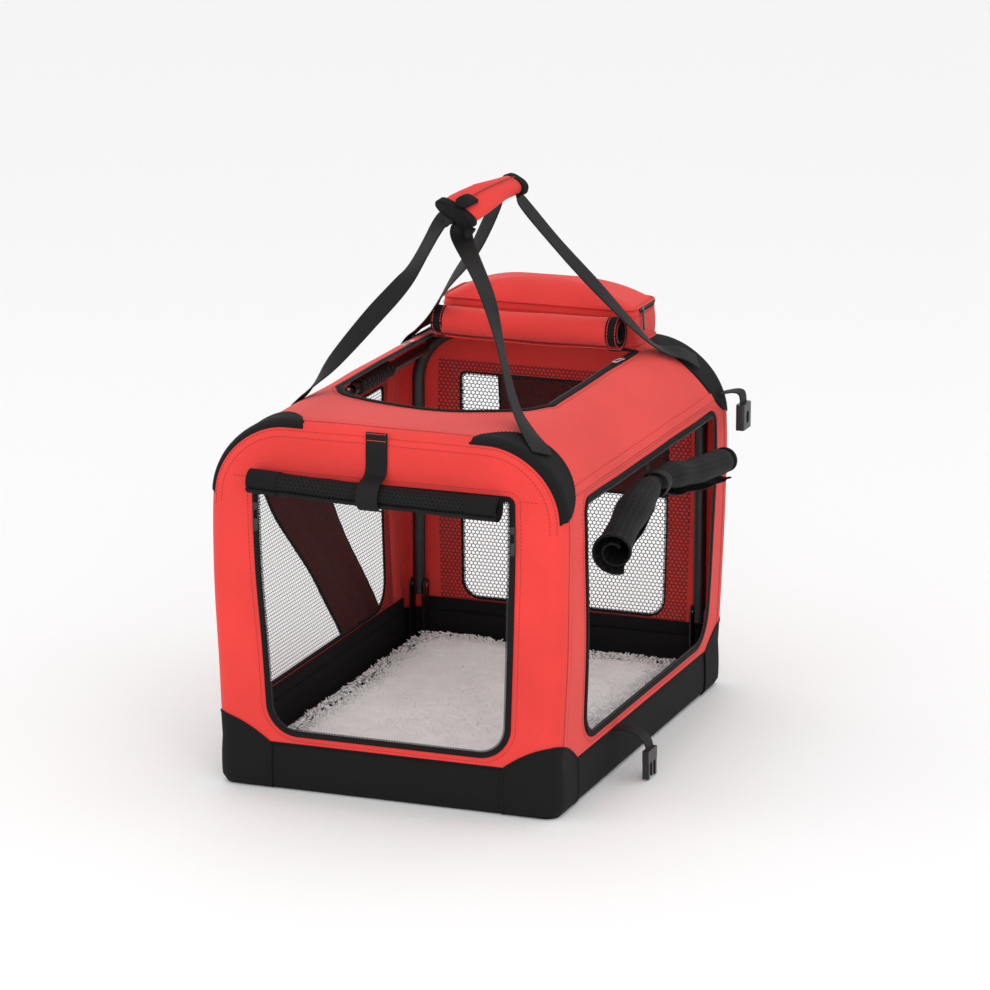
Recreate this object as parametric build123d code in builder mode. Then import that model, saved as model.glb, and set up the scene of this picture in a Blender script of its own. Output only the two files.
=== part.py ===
from build123d import *
import os

# Folding pet carrier: a black fabric base with a steel base frame, two inverted-U
# tube hoops that fold inwards, hinged roof rails, and a soft cover.
# Millimetres. Origin under the middle of the base, +X right, -Y front, +Z up.

# ---- driving dimensions ----
LENGTH = 600.0
WIDTH = 420.0
BAND_HEIGHT = 57.5
CLOTH = 3.0
BASE_CORNER = 20.0
COVER_HALF_WIDTH = 213.5
COVER_TOP = 447.0
ARCH_RADIUS = 90.0
SEAM_HEIGHT = 380.0
END_FACE = 303.5

TUBE_RADIUS = 8.0
RAIL_RADIUS = 7.0
TUBE_WALL = 1.2
FRAME_HALF_WIDTH = 190.0
FRAME_HALF_LENGTH = 284.0
FRAME_CORNER = 16.0
FRAME_HEIGHT = 11.0
HOOP_TOP = 434.0
HOOP_CORNER = 70.0
FRONT_PIVOT = 72.0
REAR_PIVOT = 94.0
PIN_RADIUS = 3.0
RUNNING_GAP = 0.05

DOOR_HALF_WIDTH = 157.0
DOOR_BOTTOM = 72.0
DOOR_TOP = 380.0
DOOR_CORNER = 35.0
SIDE_WINDOW_FRONT = -225.0
SIDE_WINDOW_REAR = 235.0
SIDE_WINDOW_TOP = 365.0
ROOF_HALF_WIDTH = 135.0
ROOF_SIDE_FRONT = -120.0
ROOF_NOSE = -172.0
ROOF_REAR = 190.0
ZIP_WIDTH = 5.0
ZIP_THICK = 1.2
GAP = 0.3

RAIL_X = 170.2
RAIL_HEIGHT = 412.0
RAIL_END = 256.0
SLEEVE_START = 30.0
SLEEVE_LENGTH = 105.0

WEBBING_WIDTH = 28.0
WEBBING_THICK = 2.5
GRIP_LENGTH = 150.0
GRIP_WIDTH = 46.0
GRIP_THICK = 28.0
GRIP_HEIGHT = 660.0
GRIP_YAW = 20.0
GRIP_PITCH = 10.0

ENDS = (("front", -1), ("rear", 1))
SIDES = (("left", -1), ("right", 1))
ARCH_CENTRE_X = COVER_HALF_WIDTH - ARCH_RADIUS
ARCH_CENTRE_Z = COVER_TOP - ARCH_RADIUS
CORNERS = [(x * FRAME_HALF_WIDTH, y * FRAME_HALF_LENGTH) for x in (-1, 1) for y in (-1, 1)]

os.makedirs("parts", exist_ok=True)


def save(piece, name):
    """Label a finished piece and write it as one STEP file."""
    piece.part.label = name
    export_step(piece.part, f"parts/{name}.step")


def end_plane(y):
    """Vertical plane across the carrier: sketch X is +X, sketch Y is +Z."""
    return Plane(origin=(0, y, 0), x_dir=(1, 0, 0), z_dir=(0, -1, 0))


def side_plane(x):
    """Vertical plane along the carrier: sketch X is +Y, sketch Y is +Z."""
    return Plane(origin=(x, 0, 0), x_dir=(0, 1, 0), z_dir=(1, 0, 0))


# ---- base: frame, floor, mat and fabric band ----
with BuildPart() as base_frame:
    with BuildLine() as frame_path:
        FilletPolyline(
            (FRAME_HALF_WIDTH, FRAME_HALF_LENGTH, FRAME_HEIGHT),
            (-FRAME_HALF_WIDTH, FRAME_HALF_LENGTH, FRAME_HEIGHT),
            (-FRAME_HALF_WIDTH, -FRAME_HALF_LENGTH, FRAME_HEIGHT),
            (FRAME_HALF_WIDTH, -FRAME_HALF_LENGTH, FRAME_HEIGHT),
            radius=FRAME_CORNER,
            close=True,
        )
    with BuildSketch(Plane(origin=frame_path.line @ 0, z_dir=frame_path.line % 0)):
        Circle(TUBE_RADIUS)
        Circle(TUBE_RADIUS - TUBE_WALL, mode=Mode.SUBTRACT)
    sweep()
save(base_frame, "base_frame")

BOARD_BOTTOM = FRAME_HEIGHT + TUBE_RADIUS + GAP
BOARD_THICK = 3.0
BRACKET_NOTCH = 36.0
with BuildPart() as floor_board:
    with BuildSketch(Plane.XY.offset(BOARD_BOTTOM)):
        Rectangle(2 * FRAME_HALF_WIDTH + 2 * TUBE_RADIUS, 2 * FRAME_HALF_LENGTH + 2 * TUBE_RADIUS)
        with Locations(*CORNERS):
            Rectangle(BRACKET_NOTCH, BRACKET_NOTCH, mode=Mode.SUBTRACT)
    extrude(amount=BOARD_THICK)
save(floor_board, "floor_board")

MAT_BOTTOM = BOARD_BOTTOM + BOARD_THICK + GAP
MAT_THICK = 12.0
with BuildPart() as fleece_mat:
    with BuildSketch(Plane.XY.offset(MAT_BOTTOM)):
        RectangleRounded(368, 546, 20)
    extrude(amount=MAT_THICK)
    fillet(fleece_mat.faces().sort_by(Axis.Z)[-1].edges(), 5)
save(fleece_mat, "fleece_mat")

with BuildPart() as base_band:
    with BuildSketch():
        RectangleRounded(WIDTH, LENGTH, BASE_CORNER)
    extrude(amount=BAND_HEIGHT)
    offset(amount=-2.5, openings=base_band.faces().sort_by(Axis.Z)[-1])
save(base_band, "base_band")

PATCH_THICK = 1.5
PATCH_REACH = 62.0
with BuildPart() as bottom_corner_patches:
    with BuildSketch():
        RectangleRounded(
            WIDTH + 2 * (GAP + PATCH_THICK),
            LENGTH + 2 * (GAP + PATCH_THICK),
            BASE_CORNER + GAP + PATCH_THICK,
        )
        RectangleRounded(WIDTH + 2 * GAP, LENGTH + 2 * GAP, BASE_CORNER + GAP, mode=Mode.SUBTRACT)
    extrude(amount=BAND_HEIGHT)
    with BuildSketch():
        Rectangle(WIDTH - 2 * PATCH_REACH, LENGTH + 20)
        Rectangle(WIDTH + 20, LENGTH - 2 * PATCH_REACH)
    extrude(amount=BAND_HEIGHT, mode=Mode.SUBTRACT)
save(bottom_corner_patches, "bottom_corner_patches")

# ---- hinge brackets riveted on the base frame, with the fold pins ----
CHEEK_GAP = TUBE_RADIUS + 0.4
CHEEK_THICK = 2.0
CHEEK_RADIUS = 8.5
SADDLE_BOTTOM = FRAME_HEIGHT + TUBE_RADIUS
with BuildPart() as hinge_brackets:
    for x in (-FRAME_HALF_WIDTH, FRAME_HALF_WIDTH):
        for y, pivot in ((-FRAME_HALF_LENGTH, FRONT_PIVOT), (FRAME_HALF_LENGTH, REAR_PIVOT)):
            outer = x + CHEEK_GAP + CHEEK_THICK
            with BuildSketch(side_plane(outer)):
                with Locations((y, (pivot + SADDLE_BOTTOM) / 2)):
                    Rectangle(2 * CHEEK_RADIUS, pivot - SADDLE_BOTTOM)
                with Locations((y, pivot)):
                    Circle(CHEEK_RADIUS)
            extrude(amount=-2 * (CHEEK_GAP + CHEEK_THICK))
            with BuildSketch(side_plane(x + CHEEK_GAP)):
                with Locations((y, pivot)):
                    Rectangle(4 * CHEEK_RADIUS, 2 * (pivot - SADDLE_BOTTOM - CHEEK_THICK))
            extrude(amount=-2 * CHEEK_GAP, mode=Mode.SUBTRACT)
            with BuildSketch(side_plane(outer + 1)):
                with Locations((y, pivot)):
                    Circle(PIN_RADIUS)
            extrude(amount=-2 * (CHEEK_GAP + CHEEK_THICK + 1), mode=Mode.SUBTRACT)
save(hinge_brackets, "hinge_brackets")

with BuildPart() as fold_pins:
    for x in (-FRAME_HALF_WIDTH, FRAME_HALF_WIDTH):
        for y, pivot in ((-FRAME_HALF_LENGTH, FRONT_PIVOT), (FRAME_HALF_LENGTH, REAR_PIVOT)):
            with BuildSketch(side_plane(x - CHEEK_GAP - CHEEK_THICK)):
                with Locations((y, pivot)):
                    Circle(PIN_RADIUS)
            extrude(amount=2 * (CHEEK_GAP + CHEEK_THICK))
save(fold_pins, "fold_pins")


# ---- hoops: inverted-U tubes with flattened, drilled feet ----
def hoop_path(y, foot):
    """Centre line of one hoop, from the left foot over the top to the right foot."""
    return FilletPolyline(
        (-FRAME_HALF_WIDTH, y, foot),
        (-FRAME_HALF_WIDTH, y, HOOP_TOP),
        (FRAME_HALF_WIDTH, y, HOOP_TOP),
        (FRAME_HALF_WIDTH, y, foot),
        radius=HOOP_CORNER,
    )


FOOT_DROP = 12.0
hoop_outer = {}
for (end, sign), pivot in zip(ENDS, (FRONT_PIVOT, REAR_PIVOT)):
    y = sign * FRAME_HALF_LENGTH
    foot_plane = Plane(origin=(-FRAME_HALF_WIDTH, y, pivot - FOOT_DROP), z_dir=(0, 0, 1))
    with BuildPart() as solid_hoop:
        with BuildLine():
            hoop_path(y, pivot - FOOT_DROP)
        with BuildSketch(foot_plane):
            Circle(TUBE_RADIUS + 0.02)
        sweep()
    hoop_outer[end] = solid_hoop.part
    with BuildPart() as hoop:
        with BuildLine():
            hoop_path(y, pivot - FOOT_DROP)
        with BuildSketch(foot_plane):
            Circle(TUBE_RADIUS)
            Circle(TUBE_RADIUS - TUBE_WALL, mode=Mode.SUBTRACT)
        sweep()
        with BuildSketch(side_plane(-FRAME_HALF_WIDTH - 2 * TUBE_RADIUS)):
            with Locations((y, pivot)):
                Circle(PIN_RADIUS + RUNNING_GAP)
        extrude(amount=2 * FRAME_HALF_WIDTH + 4 * TUBE_RADIUS, mode=Mode.SUBTRACT)
    save(hoop, f"{end}_hoop")

# ---- roof rails: two tube halves lapped on a rivet, a lock sleeve, tabs on the hoop corners ----
TAB_REACH = 18.0
TAB_THICK = 2.5
TAB_BOTTOM = RAIL_HEIGHT + RAIL_RADIUS + 0.4
for end, sign in ENDS:
    with BuildPart() as corner_tabs:
        with BuildSketch(Plane.XY.offset(TAB_BOTTOM)):
            for x in (-RAIL_X, RAIL_X):
                with Locations((x, sign * (FRAME_HALF_LENGTH - TAB_REACH / 2))):
                    Rectangle(14, TAB_REACH)
        extrude(amount=TAB_THICK)
        add(hoop_outer[end], mode=Mode.SUBTRACT)
    save(corner_tabs, f"{end}_corner_tabs")

RIVET_RADIUS = 2.5
RIVET_HEAD = 2.2
TONGUE_HALF_WIDTH = 5.0
TONGUE_REACH = 8.0
TONGUE_THICK = 3.0
TUBE_START = 12.0
for end, sign in ENDS:
    for side, side_sign in SIDES:
        x = side_sign * RAIL_X
        across = Plane(origin=(x, 0, RAIL_HEIGHT), x_dir=(1, 0, 0), z_dir=(0, sign, 0))
        tongue_low = RAIL_HEIGHT + (GAP if end == "front" else -GAP - TONGUE_THICK)
        with BuildPart() as rail:
            with BuildSketch(across.offset(TUBE_START)):
                Circle(RAIL_RADIUS)
                Circle(RAIL_RADIUS - TUBE_WALL, mode=Mode.SUBTRACT)
            extrude(amount=RAIL_END - TUBE_START)
            with BuildSketch(Plane.XY.offset(tongue_low)):
                with Locations((x, sign * (TUBE_START + 5 - TONGUE_REACH) / 2)):
                    Rectangle(2 * TONGUE_HALF_WIDTH, TUBE_START + 5 + TONGUE_REACH)
                with Locations((x, 0)):
                    Circle(RIVET_RADIUS + RUNNING_GAP, mode=Mode.SUBTRACT)
            extrude(amount=TONGUE_THICK)
        save(rail, f"{end}_{side}_rail")

for side, side_sign in SIDES:
    x = side_sign * RAIL_X
    grip_half = GAP + TONGUE_THICK
    with BuildPart() as rivet:
        with BuildSketch(Plane.XY.offset(RAIL_HEIGHT - grip_half - RIVET_HEAD)):
            with Locations((x, 0)):
                Circle(4)
        extrude(amount=2 * (grip_half + RIVET_HEAD))
        with BuildSketch(Plane.XY.offset(RAIL_HEIGHT - grip_half)):
            with Locations((x, 0)):
                Circle(5)
                Circle(RIVET_RADIUS, mode=Mode.SUBTRACT)
        extrude(amount=2 * grip_half, mode=Mode.SUBTRACT)
        fillet(rivet.faces().sort_by(Axis.Z)[-1].edges(), 1)
    save(rivet, f"{side}_rail_rivet")
    SLEEVE_RADIUS = 9.0
    RIB_RADIUS = 10.0
    RIB_PITCH = 7.0
    sleeve_plane = Plane(origin=(x, -side_sign * SLEEVE_START, RAIL_HEIGHT), z_dir=(0, -side_sign, 0))
    with BuildPart() as sleeve:
        with BuildSketch(sleeve_plane):
            Circle(SLEEVE_RADIUS)
        extrude(amount=SLEEVE_LENGTH)
        for rib in range(int(SLEEVE_LENGTH / RIB_PITCH)):
            with BuildSketch(sleeve_plane.offset(2 + rib * RIB_PITCH)):
                Circle(RIB_RADIUS)
            extrude(amount=RIB_PITCH / 2)
        with BuildSketch(sleeve_plane):
            Circle(RAIL_RADIUS + 0.5)
        extrude(amount=SLEEVE_LENGTH, mode=Mode.SUBTRACT)
    save(sleeve, f"{side}_lock_sleeve")


# ---- end panels: arched cloth faces with a door opening, and what is sewn on them ----
def door_outline():
    """Door opening: square at the top, rounded at the bottom corners."""
    with BuildSketch(mode=Mode.PRIVATE) as outline:
        with Locations((0, (DOOR_BOTTOM + DOOR_TOP) / 2)):
            Rectangle(2 * DOOR_HALF_WIDTH, DOOR_TOP - DOOR_BOTTOM)
        fillet(outline.vertices().group_by(Axis.Y)[0], DOOR_CORNER)
    return outline.sketch


def arch_outline(inset=0.0, bottom=BAND_HEIGHT + 0.5):
    """Cross-section of the cover: upright sides, quarter-round shoulders, flat top."""
    half = COVER_HALF_WIDTH - inset
    top = COVER_TOP - inset
    with BuildSketch(mode=Mode.PRIVATE) as outline:
        with Locations((0, (bottom + top) / 2)):
            Rectangle(2 * half, top - bottom)
        fillet(outline.vertices().group_by(Axis.Y)[-1], ARCH_RADIUS - inset)
    return outline.sketch


for end, sign in ENDS:
    with BuildPart() as panel:
        with BuildSketch(end_plane(sign * END_FACE)):
            add(arch_outline())
            add(door_outline(), mode=Mode.SUBTRACT)
        extrude(amount=sign * CLOTH)
    save(panel, f"{end}_panel")
    with BuildPart() as door_zip:
        with BuildSketch(end_plane(sign * (END_FACE + GAP))):
            offset(door_outline(), amount=ZIP_WIDTH)
            add(door_outline(), mode=Mode.SUBTRACT)
        extrude(amount=-sign * ZIP_THICK)
    save(door_zip, f"{end}_door_zip")

ROLL_RADIUS = 15.0
ROLL_HEIGHT = 374.0
ROLL_HALF_LENGTH = DOOR_HALF_WIDTH + 5
ROLL_Y = -END_FACE - GAP - ZIP_THICK - ROLL_RADIUS - GAP
with BuildPart() as front_door_roll:
    with BuildSketch(side_plane(-ROLL_HALF_LENGTH)):
        with Locations((ROLL_Y, ROLL_HEIGHT)):
            Circle(ROLL_RADIUS)
    extrude(amount=2 * ROLL_HALF_LENGTH)
save(front_door_roll, "front_door_roll")

STRAP_TOP = 446.0
STRAP_END = 362.0
STRAP_FRONT = ROLL_Y - ROLL_RADIUS - GAP
with BuildPart() as front_door_strap:
    with BuildSketch(side_plane(-14)):
        with BuildLine():
            Polyline(
                (-END_FACE - GAP, STRAP_TOP),
                (-END_FACE - GAP - 2, STRAP_TOP),
                (STRAP_FRONT - 2, ROLL_HEIGHT + 10),
                (STRAP_FRONT - 2, STRAP_END),
                (STRAP_FRONT, STRAP_END),
                (STRAP_FRONT, ROLL_HEIGHT + 9),
                (-END_FACE - GAP, STRAP_TOP - 9),
                close=True,
            )
        make_face()
    extrude(amount=28)
save(front_door_strap, "front_door_strap")

MESH_THICK = 1.6
with BuildPart() as rear_mesh_window:
    with BuildSketch(end_plane(END_FACE - CLOTH / 2)):
        offset(door_outline(), amount=-GAP)
    extrude(amount=MESH_THICK / 2, both=True)
save(rear_mesh_window, "rear_mesh_window")

REAR_FLAP_Y = END_FACE + GAP + ZIP_THICK + GAP
with BuildPart() as rear_window_flap:
    with BuildSketch(end_plane(REAR_FLAP_Y)):
        with Locations((38, 214)):
            Rectangle(240, 292)
    extrude(amount=-2)
save(rear_window_flap, "rear_window_flap")


# ---- side panels: from the base band up to the seam below the roof ----
def side_window_outline():
    """Side opening with small rounded corners, larger at the bottom."""
    with BuildSketch(mode=Mode.PRIVATE) as outline:
        with Locations(((SIDE_WINDOW_FRONT + SIDE_WINDOW_REAR) / 2, (DOOR_BOTTOM + SIDE_WINDOW_TOP) / 2)):
            Rectangle(SIDE_WINDOW_REAR - SIDE_WINDOW_FRONT, SIDE_WINDOW_TOP - DOOR_BOTTOM)
        fillet(outline.vertices().group_by(Axis.Y)[-1], 12)
        fillet(outline.vertices().group_by(Axis.Y)[0], DOOR_CORNER)
    return outline.sketch


PANEL_HALF_LENGTH = END_FACE - CLOTH - GAP
PANEL_BOTTOM = BAND_HEIGHT + 0.5
SHOULDER_BOTTOM = ARCH_CENTRE_Z
for side, sign in SIDES:
    with BuildPart() as side_panel:
        with BuildSketch(side_plane(sign * COVER_HALF_WIDTH)):
            with Locations((0, (PANEL_BOTTOM + SHOULDER_BOTTOM) / 2)):
                Rectangle(2 * PANEL_HALF_LENGTH, SHOULDER_BOTTOM - PANEL_BOTTOM)
        extrude(amount=-sign * CLOTH)
        with BuildSketch(end_plane(-PANEL_HALF_LENGTH)):
            add(arch_outline())
            add(arch_outline(inset=CLOTH), mode=Mode.SUBTRACT)
            with Locations((0, SEAM_HEIGHT + 100)):
                Rectangle(2 * WIDTH, 200, mode=Mode.SUBTRACT)
            with Locations((-sign * WIDTH / 2, COVER_TOP / 2)):
                Rectangle(WIDTH, 2 * COVER_TOP, mode=Mode.SUBTRACT)
        extrude(amount=-2 * PANEL_HALF_LENGTH)
        with BuildSketch(side_plane(sign * WIDTH)):
            add(side_window_outline())
        extrude(amount=-sign * WIDTH / 2, mode=Mode.SUBTRACT)
    save(side_panel, f"{side}_side_panel")
    with BuildPart() as window_zip:
        with BuildSketch(side_plane(sign * (COVER_HALF_WIDTH + GAP))):
            offset(side_window_outline(), amount=ZIP_WIDTH)
            add(side_window_outline(), mode=Mode.SUBTRACT)
        extrude(amount=sign * ZIP_THICK)
    save(window_zip, f"{side}_window_zip")

with BuildPart() as left_mesh_window:
    with BuildSketch(side_plane(-COVER_HALF_WIDTH + CLOTH / 2)):
        offset(side_window_outline(), amount=-GAP)
    extrude(amount=MESH_THICK / 2, both=True)
save(left_mesh_window, "left_mesh_window")

LEFT_FLAP_X = -COVER_HALF_WIDTH - GAP - ZIP_THICK - GAP
with BuildPart() as left_window_flap:
    with BuildSketch(side_plane(LEFT_FLAP_X)):
        with BuildLine():
            Polyline((-170, 362), (20, 362), (215, 80), (80, 80), close=True)
        make_face()
    extrude(amount=-2)
save(left_window_flap, "left_window_flap")

SIDE_ROLL_RADIUS = 19.0
SIDE_ROLL_X = COVER_HALF_WIDTH + GAP + ZIP_THICK + SIDE_ROLL_RADIUS + GAP
ROLL_MIDDLE = Vector(SIDE_ROLL_X, -10, 336)
ROLL_FRONT_END = Vector(SIDE_ROLL_X + 6, -200, 306)
ROLL_REAR_END = Vector(SIDE_ROLL_X + 14, 232, 314)
with BuildPart() as right_flap_roll:
    for tip in (ROLL_FRONT_END, ROLL_REAR_END):
        run = tip - ROLL_MIDDLE
        with BuildSketch(Plane(origin=ROLL_MIDDLE, z_dir=run)):
            Circle(SIDE_ROLL_RADIUS)
        extrude(amount=run.length)
    with Locations(ROLL_MIDDLE):
        Sphere(SIDE_ROLL_RADIUS)
save(right_flap_roll, "right_flap_roll")

SIDE_STRAP_X = SIDE_ROLL_X + SIDE_ROLL_RADIUS + 3
with BuildPart() as right_roll_strap:
    with BuildSketch(Plane(origin=(0, -18, 0), x_dir=(1, 0, 0), z_dir=(0, -1, 0))):
        with BuildLine():
            Polyline(
                (COVER_HALF_WIDTH + GAP, SEAM_HEIGHT - 6),
                (COVER_HALF_WIDTH + GAP + 2, SEAM_HEIGHT - 4),
                (SIDE_STRAP_X + 2, 346),
                (SIDE_STRAP_X + 2, 318),
                (SIDE_STRAP_X, 318),
                (SIDE_STRAP_X, 345),
                close=True,
            )
        make_face()
    extrude(amount=-16)
save(right_roll_strap, "right_roll_strap")


# ---- roof: cloth arch with a zip opening, the rolled roof flap and the pouch ----
def roof_outline(grow=0.0):
    """Roof opening: straight sides and rear, bowed front edge."""
    half = ROOF_HALF_WIDTH + grow
    with BuildSketch(mode=Mode.PRIVATE) as outline:
        with BuildLine():
            Polyline(
                (-half, ROOF_SIDE_FRONT - grow / 2),
                (-half, ROOF_REAR + grow),
                (half, ROOF_REAR + grow),
                (half, ROOF_SIDE_FRONT - grow / 2),
            )
            ThreePointArc(
                (-half, ROOF_SIDE_FRONT - grow / 2),
                (0, ROOF_NOSE - grow),
                (half, ROOF_SIDE_FRONT - grow / 2),
            )
        make_face()
        fillet(outline.vertices(), 14)
    return outline.sketch


with BuildPart() as roof_panel:
    with BuildSketch(end_plane(-PANEL_HALF_LENGTH)):
        add(arch_outline())
        add(arch_outline(inset=CLOTH), mode=Mode.SUBTRACT)
        with Locations((0, SEAM_HEIGHT + 0.5 - 200)):
            Rectangle(2 * WIDTH, 400, mode=Mode.SUBTRACT)
    extrude(amount=-2 * PANEL_HALF_LENGTH)
    with BuildSketch(Plane.XY.offset(COVER_TOP - 60)):
        add(roof_outline())
    extrude(amount=100, mode=Mode.SUBTRACT)
save(roof_panel, "roof_panel")

with BuildPart() as roof_zip:
    with BuildSketch(Plane.XY.offset(COVER_TOP + GAP)):
        add(roof_outline(grow=ZIP_WIDTH))
        add(roof_outline(), mode=Mode.SUBTRACT)
    extrude(amount=ZIP_THICK)
save(roof_zip, "roof_zip")

ROOF_ROLL_RADIUS = 22.0
ROOF_ROLL_Y = 172.0
ROOF_ROLL_HALF_LENGTH = 121.0
ROOF_ROLL_Z = COVER_TOP + GAP + ZIP_THICK + GAP + ROOF_ROLL_RADIUS
with BuildPart() as roof_flap_roll:
    with BuildSketch(side_plane(-ROOF_ROLL_HALF_LENGTH)):
        with Locations((ROOF_ROLL_Y, ROOF_ROLL_Z)):
            Circle(ROOF_ROLL_RADIUS)
    extrude(amount=2 * ROOF_ROLL_HALF_LENGTH)
save(roof_flap_roll, "roof_flap_roll")

POUCH_FRONT = 199.0
POUCH_REAR = 296.0
POUCH_HALF_WIDTH = 122.0
POUCH_HEIGHT = 44.0
POUCH_BOTTOM = COVER_TOP + GAP + PATCH_THICK + GAP
POUCH_MIDDLE = (POUCH_FRONT + POUCH_REAR) / 2
POUCH_LENGTH = POUCH_REAR - POUCH_FRONT
with BuildPart() as pouch:
    with BuildSketch(Plane.XY.offset(POUCH_BOTTOM)):
        with Locations((0, POUCH_MIDDLE)):
            RectangleRounded(2 * POUCH_HALF_WIDTH, POUCH_LENGTH, 12)
    extrude(amount=POUCH_HEIGHT)
    offset(amount=-2.5, openings=pouch.faces().sort_by(Axis.Z)[-1])
save(pouch, "pouch")

POUCH_LID_BOTTOM = POUCH_BOTTOM + POUCH_HEIGHT + GAP
LID_RISE = 16.0
with BuildPart() as pouch_lid:
    with BuildSketch(end_plane(POUCH_FRONT + 1)):
        with BuildLine():
            Polyline(
                (-POUCH_HALF_WIDTH + 1, POUCH_LID_BOTTOM + 2.5),
                (-POUCH_HALF_WIDTH + 1, POUCH_LID_BOTTOM),
                (POUCH_HALF_WIDTH - 1, POUCH_LID_BOTTOM),
                (POUCH_HALF_WIDTH - 1, POUCH_LID_BOTTOM + 2.5),
            )
            ThreePointArc(
                (-POUCH_HALF_WIDTH + 1, POUCH_LID_BOTTOM + 2.5),
                (0, POUCH_LID_BOTTOM + LID_RISE),
                (POUCH_HALF_WIDTH - 1, POUCH_LID_BOTTOM + 2.5),
            )
        make_face()
    extrude(amount=-(POUCH_LENGTH - 2))
    with BuildSketch(end_plane(POUCH_FRONT + 3)):
        with BuildLine():
            Line((-POUCH_HALF_WIDTH + 8, POUCH_LID_BOTTOM), (POUCH_HALF_WIDTH - 8, POUCH_LID_BOTTOM))
            ThreePointArc(
                (-POUCH_HALF_WIDTH + 8, POUCH_LID_BOTTOM),
                (0, POUCH_LID_BOTTOM + LID_RISE - 2.5),
                (POUCH_HALF_WIDTH - 8, POUCH_LID_BOTTOM),
            )
        make_face()
    extrude(amount=-(POUCH_LENGTH - 6), mode=Mode.SUBTRACT)
save(pouch_lid, "pouch_lid")

# ---- crescent patches over the four top corners ----
CRESCENT_RADIUS = 76.0
CRESCENT_DEPTH = 62.0
with BuildPart() as top_corner_patches:
    with BuildSketch(end_plane(-PANEL_HALF_LENGTH)):
        add(arch_outline(inset=-GAP - PATCH_THICK))
        add(arch_outline(inset=-GAP), mode=Mode.SUBTRACT)
        with Locations((0, SEAM_HEIGHT + 0.5 - 200)):
            Rectangle(2 * WIDTH, 400, mode=Mode.SUBTRACT)
    extrude(amount=-2 * PANEL_HALF_LENGTH)
    with BuildPart(mode=Mode.PRIVATE) as crescent_cutters:
        for x in (-1, 1):
            for y in (-1, 1):
                centre_y = y * (PANEL_HALF_LENGTH + CRESCENT_RADIUS - CRESCENT_DEPTH)
                with BuildSketch(Plane(origin=(x * 60, centre_y, 300), z_dir=(x, 0, 1))):
                    Circle(CRESCENT_RADIUS)
                extrude(amount=300)
    add(crescent_cutters.part, mode=Mode.INTERSECT)
save(top_corner_patches, "top_corner_patches")

# ---- carrying handle: padded grip, keeper tab and four webbing legs ----
GRIP_PLANE = Plane(origin=(0, 0, GRIP_HEIGHT)).rotated((GRIP_PITCH, 0, -GRIP_YAW))
with BuildPart(GRIP_PLANE) as handle_grip:
    Box(GRIP_WIDTH, GRIP_LENGTH, GRIP_THICK)
    fillet(handle_grip.edges().filter_by(lambda e: e.length > GRIP_LENGTH - 1), 10)
save(handle_grip, "handle_grip")

TAB_LENGTH = 24.0
with BuildPart(GRIP_PLANE) as grip_keeper_tab:
    with Locations((0, -GRIP_LENGTH / 2 + TAB_LENGTH / 2 + 4, GRIP_THICK / 2 + GAP + 1.5)):
        Box(30, TAB_LENGTH, 3)
save(grip_keeper_tab, "grip_keeper_tab")

GRIP_UNDERSIDE = GRIP_HEIGHT - GRIP_THICK / 2
STRAP_FEET = {
    "front_left": (Vector(-176, -150, COVER_TOP - 12), Vector(-14, -62, GRIP_UNDERSIDE - 18)),
    "front_right": (Vector(170, -262, COVER_TOP - 8), Vector(-2, -58, GRIP_UNDERSIDE - 18)),
    "rear_left": (Vector(-178, 236, COVER_TOP - 11), Vector(-4, 58, GRIP_UNDERSIDE - 3)),
    "rear_right": (Vector(180, 236, COVER_TOP - 11), Vector(18, 52, GRIP_UNDERSIDE - 3)),
}
for name, (foot, head) in STRAP_FEET.items():
    run = head - foot
    outward = Vector(1 if foot.X > 0 else -1, 0, 0)
    foot = foot + run.normalized() * 10 + Vector(0, 0, 6)
    with BuildPart() as strap:
        for point in (foot, head):
            with BuildSketch(Plane(origin=point, x_dir=run.cross(outward), z_dir=run)):
                Rectangle(WEBBING_WIDTH, WEBBING_THICK)
        loft()
    save(strap, f"handle_strap_{name}")

# ---- closing straps: male buckle at the base, female buckle at the rear corner ----
LOWER_STRAP_Y = -105.0
BUCKLE_X = WIDTH / 2 + 48.0
WEB = 25.0
with BuildPart() as lower_webbing:
    with BuildSketch(end_plane(LOWER_STRAP_Y - WEB / 2)):
        with BuildLine():
            Polyline(
                (WIDTH / 2 + GAP, 50),
                (WIDTH / 2 + 24, 56),
                (BUCKLE_X - 8, 50),
                (BUCKLE_X - 1, 38),
                (BUCKLE_X + 1, 39),
                (BUCKLE_X - 7, 52),
                (WIDTH / 2 + 24, 58),
                (WIDTH / 2 + GAP, 52),
                close=True,
            )
        make_face()
    extrude(amount=-WEB)
save(lower_webbing, "lower_webbing")

with BuildPart() as male_buckle:
    with BuildSketch(side_plane(BUCKLE_X - 4)):
        with Locations((LOWER_STRAP_Y, 29)):
            RectangleRounded(31, 16, 2)
        for prong in (-12, 12):
            with Locations((LOWER_STRAP_Y + prong, 12)):
                Rectangle(5, 20)
        with Locations((LOWER_STRAP_Y, 13)):
            Rectangle(5, 18)
    extrude(amount=8)
save(male_buckle, "male_buckle")

UPPER_STRAP_Y = 276.0
UPPER_BUCKLE_X = COVER_HALF_WIDTH + 34.0
with BuildPart() as upper_webbing:
    with BuildSketch(end_plane(UPPER_STRAP_Y - WEB / 2)):
        with BuildLine():
            Polyline(
                (COVER_HALF_WIDTH + GAP, 382),
                (UPPER_BUCKLE_X - 4, 386),
                (UPPER_BUCKLE_X - 1, 372.5),
                (UPPER_BUCKLE_X + 1, 372.5),
                (UPPER_BUCKLE_X - 2, 388),
                (COVER_HALF_WIDTH + GAP, 384),
                close=True,
            )
        make_face()
    extrude(amount=-WEB)
save(upper_webbing, "upper_webbing")

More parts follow.
